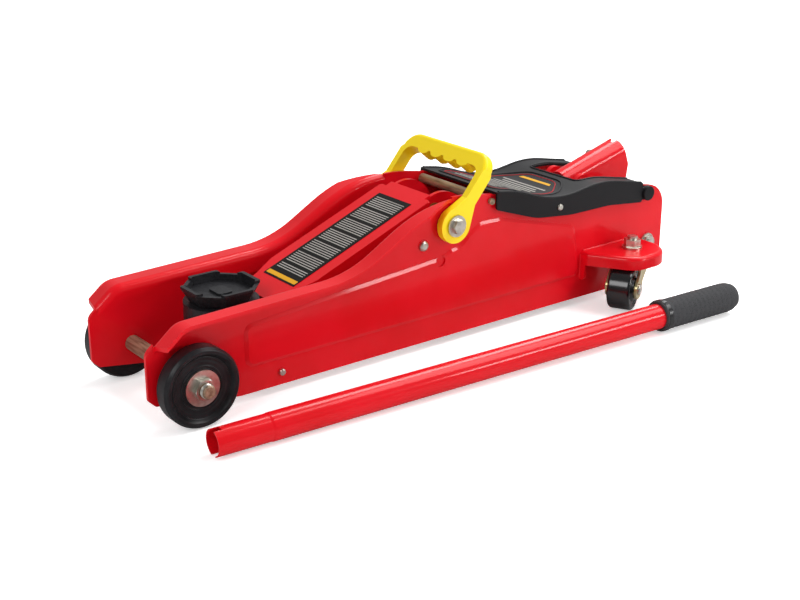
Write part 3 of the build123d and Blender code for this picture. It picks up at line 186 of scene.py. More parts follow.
def plated_steel(name, colours, patch_mm, roughness):
    """Plated steel: a metal whose tint drifts where the plating is thicker, with fine scratches."""
    scratch_mm = 1.2
    material, tree, shader = start_material(name)
    place = add_node(tree, "ShaderNodeTexCoord")
    patch = add_node(tree, "ShaderNodeTexNoise", {"Scale": per_metre(patch_mm), "Detail": 4.0},
                     Vector=place.outputs["Object"])
    ramp = add_node(tree, "ShaderNodeValToRGB", None, Fac=patch.outputs["Fac"])
    first, last = 0.3, 0.7
    ramp.color_ramp.elements[0].position = first
    ramp.color_ramp.elements[0].color = hex_colour(colours[0])
    ramp.color_ramp.elements[1].position = last
    ramp.color_ramp.elements[1].color = hex_colour(colours[-1])
    for index, colour in enumerate(colours[1:-1]):
        share = (index + 1) / (len(colours) - 1)
        ramp.color_ramp.elements.new(first + (last - first) * share).color = hex_colour(colour)
    tree.links.new(ramp.outputs["Color"], shader.inputs["Base Color"])
    scratch = add_node(tree, "ShaderNodeTexNoise", {"Scale": per_metre(scratch_mm), "Detail": 3.0},
                       Vector=place.outputs["Object"])
    rough = add_node(tree, "ShaderNodeMapRange",
                     {"To Min": roughness - 0.08, "To Max": roughness + 0.12},
                     Value=scratch.outputs["Fac"])
    tree.links.new(rough.outputs["Result"], shader.inputs["Roughness"])
    bump = add_node(tree, "ShaderNodeBump", {"Strength": 0.15, "Distance": 0.1 * MM},
                    Height=scratch.outputs["Fac"])
    tree.links.new(bump.outputs["Normal"], shader.inputs["Normal"])
    shader.inputs["Metallic"].default_value = 1.0
    return material


def bare_bar(name):
    """Plain drawn steel bar under a film of oil: brownish, with streaks along it. Its bars lie along y."""
    streak_mm = 3
    drawn_out = 0.12    # share of its own scale that the pattern keeps along the bar
    material, tree, shader = start_material(name)
    place = add_node(tree, "ShaderNodeTexCoord")
    stretch = add_node(tree, "ShaderNodeMapping", None, Vector=place.outputs["Object"])
    stretch.inputs["Scale"].default_value = (1.0, drawn_out, 1.0)
    streak = add_node(tree, "ShaderNodeTexNoise", {"Scale": per_metre(streak_mm), "Detail": 6.0},
                      Vector=stretch.outputs["Vector"])
    ramp = add_node(tree, "ShaderNodeValToRGB", None, Fac=streak.outputs["Fac"])
    ramp.color_ramp.elements[0].position = 0.3
    ramp.color_ramp.elements[0].color = hex_colour("6E5442")
    ramp.color_ramp.elements[1].position = 0.7
    ramp.color_ramp.elements[1].color = hex_colour("BFA88C")
    tree.links.new(ramp.outputs["Color"], shader.inputs["Base Color"])
    bump = add_node(tree, "ShaderNodeBump", {"Strength": 0.3, "Distance": 0.15 * MM},
                    Height=streak.outputs["Fac"])
    tree.links.new(bump.outputs["Normal"], shader.inputs["Normal"])
    shader.inputs["Metallic"].default_value = 0.55
    shader.inputs["Roughness"].default_value = 0.42
    return material


def moulded_plastic(name, colour, shade, grain_mm, roughness, shine):
    """Injection-moulded plastic: even colour, faint spark-eroded grain, soft shine."""
    drift_mm = 40
    material, tree, shader = start_material(name)
    place = add_node(tree, "ShaderNodeTexCoord")
    cloud = add_node(tree, "ShaderNodeTexNoise", {"Scale": per_metre(drift_mm), "Detail": 2.0},
                     Vector=place.outputs["Object"])
    ramp = add_node(tree, "ShaderNodeValToRGB", None, Fac=cloud.outputs["Fac"])
    ramp.color_ramp.elements[0].color = hex_colour(shade)
    ramp.color_ramp.elements[1].color = hex_colour(colour)
    tree.links.new(ramp.outputs["Color"], shader.inputs["Base Color"])
    grain = add_node(tree, "ShaderNodeTexNoise", {"Scale": per_metre(grain_mm), "Detail": 3.0},
                     Vector=place.outputs["Object"])
    bump = add_node(tree, "ShaderNodeBump", {"Strength": 0.15, "Distance": 0.08 * MM},
                    Height=grain.outputs["Fac"])
    tree.links.new(bump.outputs["Normal"], shader.inputs["Normal"])
    shader.inputs["Roughness"].default_value = roughness
    shader.inputs["Specular IOR Level"].default_value = shine
    return material


def foam_rubber(name):
    """Closed-cell foam sleeve: dull charcoal with open pores on its cut skin."""
    pore_mm = 1.6
    material, tree, shader = start_material(name)
    place = add_node(tree, "ShaderNodeTexCoord")
    pores = add_node(tree, "ShaderNodeTexVoronoi", {"Scale": per_metre(pore_mm)},
                     Vector=place.outputs["Object"])
    ramp = add_node(tree, "ShaderNodeValToRGB", None, Fac=pores.outputs["Distance"])
    ramp.color_ramp.elements[0].color = hex_colour("232325")
    ramp.color_ramp.elements[1].position = 0.4
    ramp.color_ramp.elements[1].color = hex_colour("3E3E40")
    tree.links.new(ramp.outputs["Color"], shader.inputs["Base Color"])
    bump = add_node(tree, "ShaderNodeBump", {"Strength": 0.4, "Distance": 0.3 * MM},
                    Height=pores.outputs["Distance"])
    tree.links.new(bump.outputs["Normal"], shader.inputs["Normal"])
    shader.inputs["Roughness"].default_value = 0.8
    shader.inputs["Specular IOR Level"].default_value = 0.2
    return material


# Sprayed and baked on pressed steel: deep, clear red with a lively shine.
red_enamel = enamel("red_baked_enamel", "DE0D1D", "D40A16", 1.6, 0.32, 0.34)
# The same in black on the pump and the small parts: quieter, with hardly any clear coat.
black_enamel = enamel("black_baked_enamel", "1E1E20", "19191B", 1.4, 0.42, 0.05)
# Saddle and carrier, cast in sand: rough, with glints on the grain.
black_casting = painted_casting("black_painted_casting", "2C2C30", 1.8, 0.35, 0.42)
# Front wheels of moulded nylon: dark grey, with soft round highlights.
wheel_plastic = {
    name: turned_wheel(f"black_wheel_{name}", "2C2B2E", middle(f"front_wheel_{name}"), "Y", 3.354, 0.34)
    for _, name in SIDES}
# Caster wheels from a polished mould: the smoothest black of all.
caster_plastic = moulded_plastic("black_caster_nylon", "17171A", "0F0F11", 0.8, 0.18, 0.7)
# Bolts, pins and springs, zinc plated: pale warm grey, a little uneven.
bright_zinc = plated_steel("bright_zinc_plate", ["B8B2A6", "CFCAC0", "DAD6CE"], 5, 0.30)
spring_wire = plated_steel("zinc_spring_wire", ["A8A49A", "CFCBC2"], 4, 0.28)
# Caster forks, zinc plated and passivated: a yellow cast that drifts to grey.
yellow_zinc = plated_steel("yellow_zinc_plate", ["B7A56A", "CFC28C", "C9BE9A", "D8CDA6"], 6, 0.32)
oiled_bar = bare_bar("oiled_bar_steel")
# Ram and plunger, hard chromed and ground: nearly a mirror.
hard_chrome = plated_steel("hard_chrome", ["C8C8CC", "DCDCE0"], 20, 0.12)
# Arm bushes, pressed from bronze powder: brown gold and matt.
sintered_bronze = plated_steel("sintered_bronze", ["9A7238", "B98E4C"], 2, 0.45)
# Carry handle, moulded: warm yellow, satin.
yellow_plastic = moulded_plastic("yellow_moulded_plastic", "FDE01A", "F8D912", 0.9, 0.34, 0.3)
# Cover, moulded with a fine grain: near black, matt.
cover_plastic = moulded_plastic("black_cover_plastic", "1C1C1F", "151517", 0.9, 0.5, 0.2)
charcoal_foam = foam_rubber("charcoal_foam")
# Collar of the grip, moulded rubber: a smooth, shiny band next to the dull foam.
collar_rubber = moulded_plastic("black_collar_rubber", "1A1A1C", "131315", 1.2, 0.25, 0.5)
# Vinyl label film on the arm and the inks printed on the labels: flat and even.
label_film = moulded_plastic("black_label_film", "141412", "10100F", 0.5, 0.45, 0.15)
pale_ink = moulded_plastic("pale_screen_ink", "B9B6B0", "9C9994", 0.4, 0.5, 0.2)
yellow_ink = moulded_plastic("yellow_screen_ink", "E3A81C", "CF9614", 0.4, 0.5, 0.2)
red_ink = moulded_plastic("red_screen_ink", "B01822", "981219", 0.4, 0.5, 0.2)

FINISHES = {
    "red_paint": red_enamel,
    "black_paint": black_enamel,
    "black_iron": black_casting,
    "caster_black": caster_plastic,
    "zinc": bright_zinc,
    "yellow_zinc": yellow_zinc,
    "tube_steel": oiled_bar,
    "chrome": hard_chrome,
    "bronze": sintered_bronze,
    "yellow_plastic": yellow_plastic,
    "foam_grip": charcoal_foam,
    "label_film": label_film,
}


def paint(piece, material):
    """Gives a piece one material."""
    piece.data.materials.clear()
    piece.data.materials.append(material)


for part in frame["record"]["subparts"]:
    name = part["node"]
    if name in ("front_wheel_left", "front_wheel_right"):
        paint(nodes[name], wheel_plastic[name.rsplit("_", 1)[1]])
    elif name == "cover":
        paint(nodes[name], cover_plastic)
    else:
        paint(nodes[name], FINISHES[part["material_slot"]])


# ---- Tools for the modelled pieces --------------------------------------------------------
DROP_FROM = 0.3    # height over the whole jack, from which films and beads are laid on it


def deselect():
    """Leaves nothing selected, so that an operator acts only on what is selected next."""
    bpy.ops.object.select_all(action="DESELECT")


def select_only(piece):
    """Selects one object and makes it the active one."""
    deselect()
    piece.select_set(True)
    bpy.context.view_layer.objects.active = piece


def reach(name, origin, direction):
    """Nearest and farthest distance of a CAD node from a point, along a direction."""
    steps = [(Vector(vertex.co) - origin).dot(direction) for vertex in nodes[name].data.vertices]
    return min(steps), max(steps)


def apply_place(piece):
    """Moves the object's place into its mesh, so that the object ends at the origin."""
    select_only(piece)
    bpy.ops.object.transform_apply(location=True, rotation=True, scale=True)


def apply_modifier(piece, kind, **settings):
    """Adds a modifier with its settings and applies it."""
    select_only(piece)
    modifier = piece.modifiers.new(kind.title(), kind)
    for key, value in settings.items():
        setattr(modifier, key, value)
    bpy.ops.object.modifier_apply(modifier=modifier.name)


def clean(piece, smooth_deg=35):
    """Merges doubles, closes holes, points the faces outwards and shades the soft bends smooth."""
    select_only(piece)
    bpy.ops.object.mode_set(mode="EDIT")
    bpy.ops.mesh.select_all(action="SELECT")
    bpy.ops.mesh.remove_doubles(threshold=0.01 * MM)
    bpy.ops.mesh.fill_holes(sides=0)
    bpy.ops.mesh.select_all(action="SELECT")
    bpy.ops.mesh.normals_make_consistent(inside=False)
    bpy.ops.object.mode_set(mode="OBJECT")
    bpy.ops.object.shade_smooth_by_angle(angle=radians(smooth_deg))


def settle(piece, name, body, material, slot, *replaced):
    """Names, paints and hangs a finished piece on its body."""
    piece.name = name
    piece.data.name = name
    paint(piece, material)
    if body:
        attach(piece, body)
    if replaced:
        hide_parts(*replaced)


def copied(piece, here, there, turn=0.0):
    """A copy with its own mesh, turned about the upright axis and moved so that here comes to there."""
    select_only(piece)
    bpy.ops.object.duplicate(linked=False)
    copy = bpy.context.object
    copy.rotation_euler = (0, 0, turn)
    copy.location = Vector(there) - Matrix.Rotation(turn, 3, "Z") @ Vector(here)
    apply_place(copy)
    return copy


def turned(profile, place, axis, steps=48):
    """Spins a closed profile, given as (along the axis, radius), about an axis through place."""
    deselect()
    bpy.ops.mesh.primitive_circle_add(vertices=len(profile), radius=1, location=(0, 0, 0))
    piece = bpy.context.object
    for vertex, (along, radius) in zip(piece.data.vertices, profile):
        vertex.co = (radius, 0, along)
    bpy.ops.object.mode_set(mode="EDIT")
    bpy.ops.mesh.select_all(action="SELECT")
    bpy.ops.mesh.spin(steps=steps, angle=2 * pi, center=(0, 0, 0), axis=(0, 0, 1))
    bpy.ops.object.mode_set(mode="OBJECT")
    clean(piece)
    piece.location = place
    piece.rotation_euler = Vector(axis).to_track_quat("Z", "Y").to_euler()
    apply_place(piece)
    return piece


def coil(start, end, mean_radius, wire_radius, turns):
    """Wire spring from start to end, with its last turns wound close together."""
    closed_turns = 1.5
    closed_pitch = 2.1 * wire_radius
    deselect()
    bpy.ops.mesh.primitive_circle_add(
        vertices=8, radius=wire_radius, location=(mean_radius, 0, 0), rotation=(pi / 2, 0, 0))
    piece = bpy.context.object
    apply_place(piece)
    length = (Vector(end) - Vector(start)).length
    apply_modifier(piece, "SCREW", axis="Z", angle=2 * pi, screw_offset=length / turns,
                   iterations=turns, steps=16, render_steps=16, use_smooth_shade=True)
    low = closed_turns * length / turns
    packed = closed_turns * closed_pitch
    for vertex in piece.data.vertices:
        z = vertex.co.z
        if z < low:
            vertex.co.z = z * packed / low
        elif z > length - low:
            vertex.co.z = length - (length - z) * packed / low
        else:
            vertex.co.z = packed + (z - low) * (length - 2 * packed) / (length - 2 * low)
    clean(piece, 60)
    piece.location = start
    piece.rotation_euler = (Vector(end) - Vector(start)).to_track_quat("Z", "Y").to_euler()
    apply_place(piece)
    return piece


def plate(length, width, height, corner, place, rotation):
    """Flat bar with rounded corners."""
    deselect()
    bpy.ops.mesh.primitive_cube_add(size=1, location=(0, 0, 0))
    piece = bpy.context.object
    piece.scale = (length, width, height)
    apply_place(piece)
    bpy.ops.object.mode_set(mode="EDIT")
    bpy.ops.mesh.select_all(action="DESELECT")
    bpy.ops.object.mode_set(mode="OBJECT")
    for edge in piece.data.edges:
        a, b = (piece.data.vertices[i].co for i in edge.vertices)
        edge.select = abs(a.z - b.z) > height / 2
    bpy.ops.object.mode_set(mode="EDIT")
    bpy.ops.mesh.select_mode(type="EDGE")
    bpy.ops.mesh.bevel(offset=corner, segments=4, affect="EDGES")
    bpy.ops.object.mode_set(mode="OBJECT")
    piece.rotation_euler = rotation
    piece.location = place
    apply_place(piece)
    return piece


def joined(parts):
    """One piece made of several."""
    deselect()
    for part in parts:
        part.select_set(True)
    bpy.context.view_layer.objects.active = parts[0]
    bpy.ops.object.join()
    return bpy.context.object


def lay_down(piece, name_of_target, offset=0.0):
    """Drops every point of a piece straight down on a CAD node, or so much above it."""
    apply_modifier(piece, "SHRINKWRAP", target=nodes[name_of_target], wrap_method="PROJECT",
                   use_project_z=True, use_negative_direction=True, use_positive_direction=False,
                   offset=offset)


def strip(points, name_of_target):
    """Film of ink cut to a plan outline and laid on the upper side of a CAD node."""
    thickness = 0.16 * MM
    longest_step = 5 * MM
    deselect()
    bpy.ops.mesh.primitive_circle_add(vertices=len(points), radius=1, fill_type="NGON", location=(0, 0, 0))
    piece = bpy.context.object
    for vertex, (x, y) in zip(piece.data.vertices, points):
        vertex.co = (x, y, DROP_FROM)
    low = min(x for x, _ in points)
    high = max(x for x, _ in points)
    bpy.ops.object.mode_set(mode="EDIT")
    cuts = max(2, int((high - low) / longest_step))
    for index in range(1, cuts):
        bpy.ops.mesh.select_all(action="SELECT")
        bpy.ops.mesh.bisect(plane_co=(low + (high - low) * index / cuts, 0, 0), plane_no=(1, 0, 0))
    bpy.ops.object.mode_set(mode="OBJECT")
    lay_down(piece, name_of_target, thickness / 2)
    apply_modifier(piece, "SOLIDIFY", thickness=thickness, offset=0)
    clean(piece)
    return piece


def bead_on(points, closed, name_of_target, radius):
    """Round bead along a plan line, half sunk in the upper side of a CAD node."""
    deselect()
    bpy.ops.mesh.primitive_circle_add(vertices=len(points), radius=1, location=(0, 0, 0))
    piece = bpy.context.object
    for vertex, (x, y) in zip(piece.data.vertices, points):
        vertex.co = (x, y, DROP_FROM)
    if not closed:
        bpy.ops.object.mode_set(mode="EDIT")
        bpy.ops.mesh.select_all(action="DESELECT")
        bpy.ops.object.mode_set(mode="OBJECT")
        last = {0, len(points) - 1}
        for edge in piece.data.edges:
            edge.select = set(edge.vertices) == last
        bpy.ops.object.mode_set(mode="EDIT")
        bpy.ops.mesh.select_mode(type="EDGE")
        bpy.ops.mesh.delete(type="EDGE_FACE")
        bpy.ops.object.mode_set(mode="OBJECT")
    lay_down(piece, name_of_target)
    select_only(piece)
    bpy.ops.object.convert(target="CURVE")
    piece = bpy.context.object
    piece.data.bevel_depth = radius
    piece.data.bevel_resolution = 2
    piece.data.use_fill_caps = True
    bpy.ops.object.convert(target="MESH")
    piece = bpy.context.object
    clean(piece, 60)
    return piece


def rounded_line(corners, radius, closed=True):
    """Plan line with its corners rounded, in steps short enough to follow a curved top."""
    longest_step = 4 * MM
    corner_steps = 6
    count = len(corners)
    path = []
    for index, corner in enumerate(corners):
        here = Vector(corner)
        if not closed and index in (0, count - 1):
            path.append(here)
            continue
        before = (Vector(corners[index - 1]) - here).normalized() * radius
        after = (Vector(corners[(index + 1) % count]) - here).normalized() * radius
        for k in range(corner_steps + 1):
            t = k / corner_steps
            path.append((1 - t) ** 2 * (here + before) + 2 * t * (1 - t) * here
                        + t ** 2 * (here + after))
    dense = []
    pairs = list(zip(path, path[1:] + path[:1] if closed else path[1:]))
    for a, b in pairs:
        steps = max(1, round((b - a).length / longest_step))
        dense += [a.lerp(b, k / steps) for k in range(steps)]
    if not closed:
        dense.append(path[-1])
    return [(p.x, p.y) for p in dense]


# ---- Springs ------------------------------------------------------------------------------
def build_springs():
    """Bright coil springs: two long ones that pull the ram home, a short one under the pump's cap."""
    return_wire, return_turns = 0.75 * MM, 32
    pump_wire, pump_turns = 0.9 * MM, 7
    low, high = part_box("return_springs")
    radius = (high.z - low.z) / 2
    z = (low.z + high.z) / 2
    starts = [Vector((low.x, (low.y + high.y) / 2 + side * ((high.y - low.y) / 2 - radius), z))
              for side, _ in SIDES]
    stretch = Vector((high.x - low.x, 0, 0))
    left = coil(starts[0], starts[0] + stretch, radius - return_wire, return_wire, return_turns)
    springs = [left, copied(left, starts[0], starts[1])]
    for spring, start, (_, name) in zip(springs, starts, SIDES):
        settle(spring, f"return_coil_{name}", None, spring_wire, "zinc", "return_springs")
        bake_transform(spring)
    low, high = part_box("plunger_spring")
    x, y = (low.x + high.x) / 2, (low.y + high.y) / 2
    spring = coil((x, y, low.z), (x, y, high.z), (high.x - low.x) / 2 - pump_wire, pump_wire, pump_turns)
    settle(spring, "plunger_coil", None, spring_wire, "zinc", "plunger_spring")
    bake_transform(spring)


# ---- Hand grip ------------------------------------------------------------------------------
def bar_axis():
    """Centre of the loose handle's open end, and its direction towards the grip."""
    mount = next(m for m in frame["record"]["mounts"] if m["name"] == "handle_bar_end")
    inward = -Vector(mount["axis"]).normalized()
    return Vector(mount["pos_m"]) - inward * mount["dims"]["length_mm"] / 2 * MM, inward


def build_grip():
    """Foam sleeve with a smooth collar, shallow rings where the hand closes, and a domed end."""
    pinhole = 0.02 * MM       # radius left at the axis, closed afterwards
    bore = 12.05 * MM
    outer = 14.3 * MM
    seat = 14.9 * MM          # the sleeve's radius under its collar
    seat_length = 9 * MM
    ring_pitch, ring_rise = 6.0 * MM, 0.25 * MM
    dome, dome_drop = 11 * MM, 9.5 * MM
    end, inward = bar_axis()
    first, last = reach("handle_grip", end, inward)
    tube_end = reach("handle_bar", end, inward)[1] + 0.1 * MM
    profile = [(tube_end, pinhole), (tube_end, bore), (first, bore), (first, seat - 0.7 * MM),
               (first + 0.8 * MM, seat), (first + seat_length, seat - 0.1 * MM),
               (first + seat_length + 1 * MM, outer)]
    along = first + seat_length + 3 * MM
    while along < last - dome - 4 * MM:
        profile += [(along, outer), (along + 0.25 * ring_pitch, outer + ring_rise),
                    (along + 0.5 * ring_pitch, outer + ring_rise), (along + 0.75 * ring_pitch, outer)]
        along += ring_pitch
    profile += [(last - dome * (1 - sin(radians(a))), outer - dome_drop * (1 - cos(radians(a))))
                for a in (0, 15, 30, 45, 60, 75, 85)]
    profile.append((last, pinhole))
    sleeve = turned(profile, end, inward)
    settle(sleeve, "foam_sleeve", "handle_bar", charcoal_foam, "foam_grip", "handle_grip")
    collar = turned(
        [(first + 1.5 * MM, seat - 0.3 * MM), (first + 2.2 * MM, seat + 0.38 * MM),
         (first + 6.8 * MM, seat + 0.3 * MM), (first + 7.6 * MM, seat - 0.3 * MM)], end, inward)
    settle(collar, "grip_collar", "handle_bar", collar_rubber, "foam_grip")


# ---- Front axle -----------------------------------------------------------------------------
def build_axle_threads():
    """Coarse thread on each stub of the axle, between the nut and the tip."""
    stub, sunk = 5.75 * MM, 0.4 * MM    # the root's radius, and how far the ends lie in the axle
    pitch, crest = 1.25 * MM, 0.55 * MM
    bare_tip = 1.2 * MM
    low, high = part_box("front_axle")
    nut_low, nut_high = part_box("axle_nuts")
    half_nuts = (nut_high.y - nut_low.y) / 2
    turns = int(((high.y - low.y) / 2 - half_nuts - bare_tip) / pitch)
    profile = [(0, stub - sunk)]
    for index in range(turns):
        start = index * pitch
        profile += [(start + 0.1 * MM, stub), (start + 0.5 * pitch, stub + crest),
                    (start + pitch - 0.1 * MM, stub)]
    profile.append((turns * pitch, stub - sunk))
    left_nut, right_nut = [middle("front_axle") + Vector((0, side * half_nuts, 0)) for side, _ in SIDES]
    left = turned(profile, left_nut, (0, 1, 0), 32)
    right = copied(left, left_nut, right_nut, pi)
    settle(left, "axle_thread_left", "frame", bright_zinc, "tube_steel")
    settle(right, "axle_thread_right", "frame", bright_zinc, "tube_steel")


def build_wheel_trim():
    """Raised rings on the outer face of each front wheel: the hub's edge and a bead inside the rim."""
    recess = 4.0 * MM       # of the wheel's web behind its outer side
    half_width = 0.7 * MM
    sunk = 0.3 * MM
    faces = []
    for side, name in SIDES:
        low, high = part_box(f"front_wheel_{name}")
        outside = high.y if side > 0 else low.y
        faces.append(Vector(((low.x + high.x) / 2, outside - side * recess, (low.z + high.z) / 2)))
    lefts = []
    for radius, height in ((18.5 * MM, 0.45 * MM), (25.8 * MM, 0.4 * MM)):
        profile = [(-sunk, radius - half_width), (0.7 * height, radius - 0.6 * half_width), (height, radius),
                   (0.7 * height, radius + 0.6 * half_width), (-sunk, radius + half_width)]
        lefts.append(turned(profile, faces[0], (0, 1, 0), 64))
    rights = [copied(bead, faces[0], faces[1], pi) for bead in lefts]
    for beads, (_, name) in zip((lefts, rights), SIDES):
        for bead, ring in zip(beads, ("hub", "web")):
            settle(bead, f"wheel_{ring}_ring_{name}", f"front_wheel_{name}", wheel_plastic[name],
                   "wheel_black")


# ---- Caster races -----------------------------------------------------------------------------
def build_caster_races():
    """Pressed cup of the ball race between each caster's fork and its bracket."""
    bore, lower, widest, upper = 7.0 * MM, 13.0 * MM, 14.2 * MM, 13.6 * MM
    bracket_thickness = 4 * MM
    tops = []
    for _, name in SIDES:
        pivot = next(j for j in frame["joints"] if j["name"] == f"caster_swivel_{name}_turn")["pos_m"]
        tops.append(Vector((pivot[0], pivot[1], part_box(f"caster_fork_{name}")[1].z)))
    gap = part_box("caster_bracket_left")[1].z - bracket_thickness - tops[0].z
    left = turned([(0.0, bore), (0.0, lower), (0.35 * gap, widest), (0.8 * gap, upper),
                   (0.92 * gap, lower - 1 * MM), (0.92 * gap, bore)], tops[0], (0, 0, 1))
    right = copied(left, tops[0], tops[1])
    for cup, (_, name) in zip((left, right), SIDES):
        settle(cup, f"caster_race_{name}", f"caster_swivel_{name}", yellow_zinc, "yellow_zinc")


# ---- Weld beads ---------------------------------------------------------------------------------
def weld(start, end, radius):
    """Weld bead with the ripples of its stacked pools."""
    pool_length = 2.2 * MM
    closed_end = 0.05 * MM
    start, end = Vector(start), Vector(end)
    length = (end - start).length
    pools = max(3, int(length / pool_length))
    step = length / pools
    profile = [(0.0, closed_end)]
    for index in range(pools):
        profile += [(step * (index + 0.1), radius * 0.8), (step * (index + 0.5), radius),
                    (step * (index + 0.9), radius * 0.86)]
    profile.append((length, closed_end))
    return turned(profile, start, end - start, 12)


def build_welds():
    """Weld beads that hold each caster bracket on its side plate, under the paint."""
    low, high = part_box("caster_bracket_left")
    front, top = high.x - 0.4 * MM, high.z - 0.3 * MM
    left = joined([
        weld((low.x + 6 * MM, low.y, top), (high.x - 3 * MM, low.y, top), 1.5 * MM),
        weld((front, low.y, low.z + 2 * MM), (front, low.y, high.z - 3 * MM), 1.4 * MM)])
    right = copied(left, (0, low.y, 0), (0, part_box("caster_bracket_right")[1].y, 0))
    settle(left, "bracket_welds_left", "frame", red_enamel, "red_paint")
    settle(right, "bracket_welds_right", "frame", red_enamel, "red_paint")


# ---- Printed labels -------------------------------------------------------------------------------
def build_arm_label():
    """Plain ruled lines and a yellow band printed on the arm's black label."""
    film, ink = 0.4 * MM, 0.12 * MM
    ink_rise = 0.02 * MM    # of the ink's middle over the label, so that the rest of it is sunk
    line_width, pitch, group = 0.95 * MM, 2.7 * MM, 7    # every seventh line is left blank
    line_margin, band_margin = 7 * MM, 3 * MM
    rear_margin, front_margin = 6 * MM, 11 * MM
    line_corner, band_corner = 0.3 * MM, 0.6 * MM
    band_width, band_back = 4.6 * MM, 4.2 * MM
    low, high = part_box("arm_label")
    slope = atan((high.z - low.z - film) / (high.x - low.x))
    down = Vector((cos(slope), 0, -sin(slope)))
    up = Vector((sin(slope), 0, cos(slope)))
    rear = Vector((low.x, (low.y + high.y) / 2, high.z)) + up * ink_rise
    length = (high.x - low.x) / cos(slope)
    width = high.y - low.y
    turn = (0, slope, 0)
    bars = []
    along, count = rear_margin, 0
    while along < length - front_margin:
        count += 1
        if count % group:
            bars.append(plate(line_width, width - line_margin, ink, line_corner, rear + down * along, turn))
        along += pitch
    settle(joined(bars), "arm_label_lines", "lift_arm", pale_ink, "label_film")
    band = plate(band_width, width - band_margin, ink, band_corner, rear + down * (length - band_back), turn)
    settle(band, "arm_label_band", "lift_arm", yellow_ink, "label_film")


COVER_LOW, COVER_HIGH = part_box("cover")
COVER_MIDDLE = (COVER_LOW.y + COVER_HIGH.y) / 2
LABEL_FRONT = COVER_HIGH.x - 8 * MM


def cover_places(corners):
    """Plan places on the cover, from corners as (back from the label's front, left of the middle) in mm."""
    return [(LABEL_FRONT - back * MM, COVER_MIDDLE + left * MM) for back, left in corners]


def build_cover_beads():
    """Beads moulded on the cover's top, round its label and its opening and along its edges."""
    label = cover_places([(0, -44), (0, 44), (82, 44), (106, 24), (106, -24), (82, -44)])
    settle(bead_on(rounded_line(label, 11 * MM), True, "cover", 1.1 * MM), "cover_label_bead", "frame",
           cover_plastic, "black_paint")
    half_opening = 35.5 * MM
    rear = COVER_LOW.x + 16 * MM            # in front of the two ears for the cover's pins
    lip_front = COVER_LOW.x + 86 * MM
    lip = [(rear, COVER_MIDDLE + half_opening), (lip_front, COVER_MIDDLE + half_opening),
           (lip_front, COVER_MIDDLE - half_opening), (rear, COVER_MIDDLE - half_opening)]
    settle(bead_on(rounded_line(lip, 8 * MM, closed=False), False, "cover", 1.2 * MM),
           "cover_opening_bead", "frame", cover_plastic, "black_paint")
    front, edge_inset = COVER_HIGH.x - 2 * MM, 1.6 * MM
    for side, name in SIDES:
        y = (COVER_HIGH.y if side > 0 else COVER_LOW.y) - side * edge_inset
        edge = rounded_line([(rear, y), (front, y)], 1 * MM, closed=False)
        settle(bead_on(edge, False, "cover", 1.4 * MM), f"cover_edge_bead_{name}", "frame", cover_plastic,
               "black_paint")


def build_cover_label():
    """Plain printing on the cover's label: cross stripes in two groups, a yellow bar and a red rule."""
    first, pitch, width = 13, 6.4, 2.2          # of the stripes, in mm
    stripe_count, front_group, group_gap = 10, 4, 5
    half_long, half_short = 30, 24              # every third stripe is a short one
    stripes = []
    for index in range(stripe_count):
        back = first + pitch * index + (group_gap if index >= front_group else 0)
        half = half_short if index % 3 == 2 else half_long
        stripes.append(strip(cover_places([(back, -half), (back + width, -half), (back + width, half),
                                           (back, half)]), "cover"))
    settle(joined(stripes), "cover_label_stripes", "frame", pale_ink, "label_film")
    band = strip(cover_places([(90, -22), (94, -20), (94, 20), (90, 22)]), "cover")
    settle(band, "cover_label_band", "frame", yellow_ink, "label_film")
    rule = cover_places([(4.5, -39.5), (4.5, 39.5), (77.5, 39.5), (101.5, 19.5), (101.5, -19.5),
                         (77.5, -39.5)])
    settle(bead_on(rounded_line(rule, 8 * MM), True, "cover", 0.55 * MM), "cover_label_rule", "frame",
           red_ink, "label_film")


build_springs()
build_grip()
build_axle_threads()
build_wheel_trim()
build_caster_races()
build_welds()
build_arm_label()
build_cover_beads()
build_cover_label()


# ---- Stage, lights and camera -------------------------------------------------------------
VIEW_HEADING = radians(142.589)    # the way the camera looks, turned from +y
VIEW_HEIGHT = radians(20.526)      # how far it looks down
VIEW_PLACE = Vector((0.74261, 0.93382, 0.48634))
VIEW_LENS, VIEW_SENSOR = 61.99, 36.0
FLOOR_DROP = 0.4 * MM
# Each lamp's place from the object's middle and its width and height, in metres, and its watts.
LAMPS = (
    ("top_softbox", (-0.97, 0.48, 1.31), (1.0, 0.9), 14),
    ("front_softbox", (1.6, 0.6, 1.2), (0.9, 0.9), 13),
    ("side_strip", (-0.95, 1.30, 0.46), (0.5, 0.22), 6.8),
    ("rear_softbox", (-1.0, -0.55, 1.33), (0.5, 1.1), 18),
)


def stage_material():
    """White studio paper that keeps a soft shadow and stays white where the camera sees it."""
    material, tree, shader = start_material("studio_paper")
    shader.inputs["Roughness"].default_value = 0.9
    seen = add_node(tree, "ShaderNodeLightPath")
    paper = add_node(tree, "ShaderNodeMapRange", {"To Min": 0.95, "To Max": 0.45},
                     Value=seen.outputs["Is Glossy Ray"])
    tree.links.new(paper.outputs["Result"], shader.inputs["Base Color"])
    place = add_node(tree, "ShaderNodeTexCoord")
    distance = add_node(tree, "ShaderNodeVectorMath", {"operation": "LENGTH"}, i0=place.outputs["Object"])
    level = add_node(tree, "ShaderNodeMapRange",
                     {"From Min": 0.5, "From Max": 1.6, "To Min": 0.45, "To Max": 1.0},
                     Value=distance.outputs["Value"])
    glow = add_node(tree, "ShaderNodeMath", {"operation": "MULTIPLY"},
                    i0=seen.outputs["Is Camera Ray"], i1=level.outputs["Result"])
    shader.inputs["Emission Color"].default_value = (1, 1, 1, 1)
    tree.links.new(glow.outputs["Value"], shader.inputs["Emission Strength"])
    return material


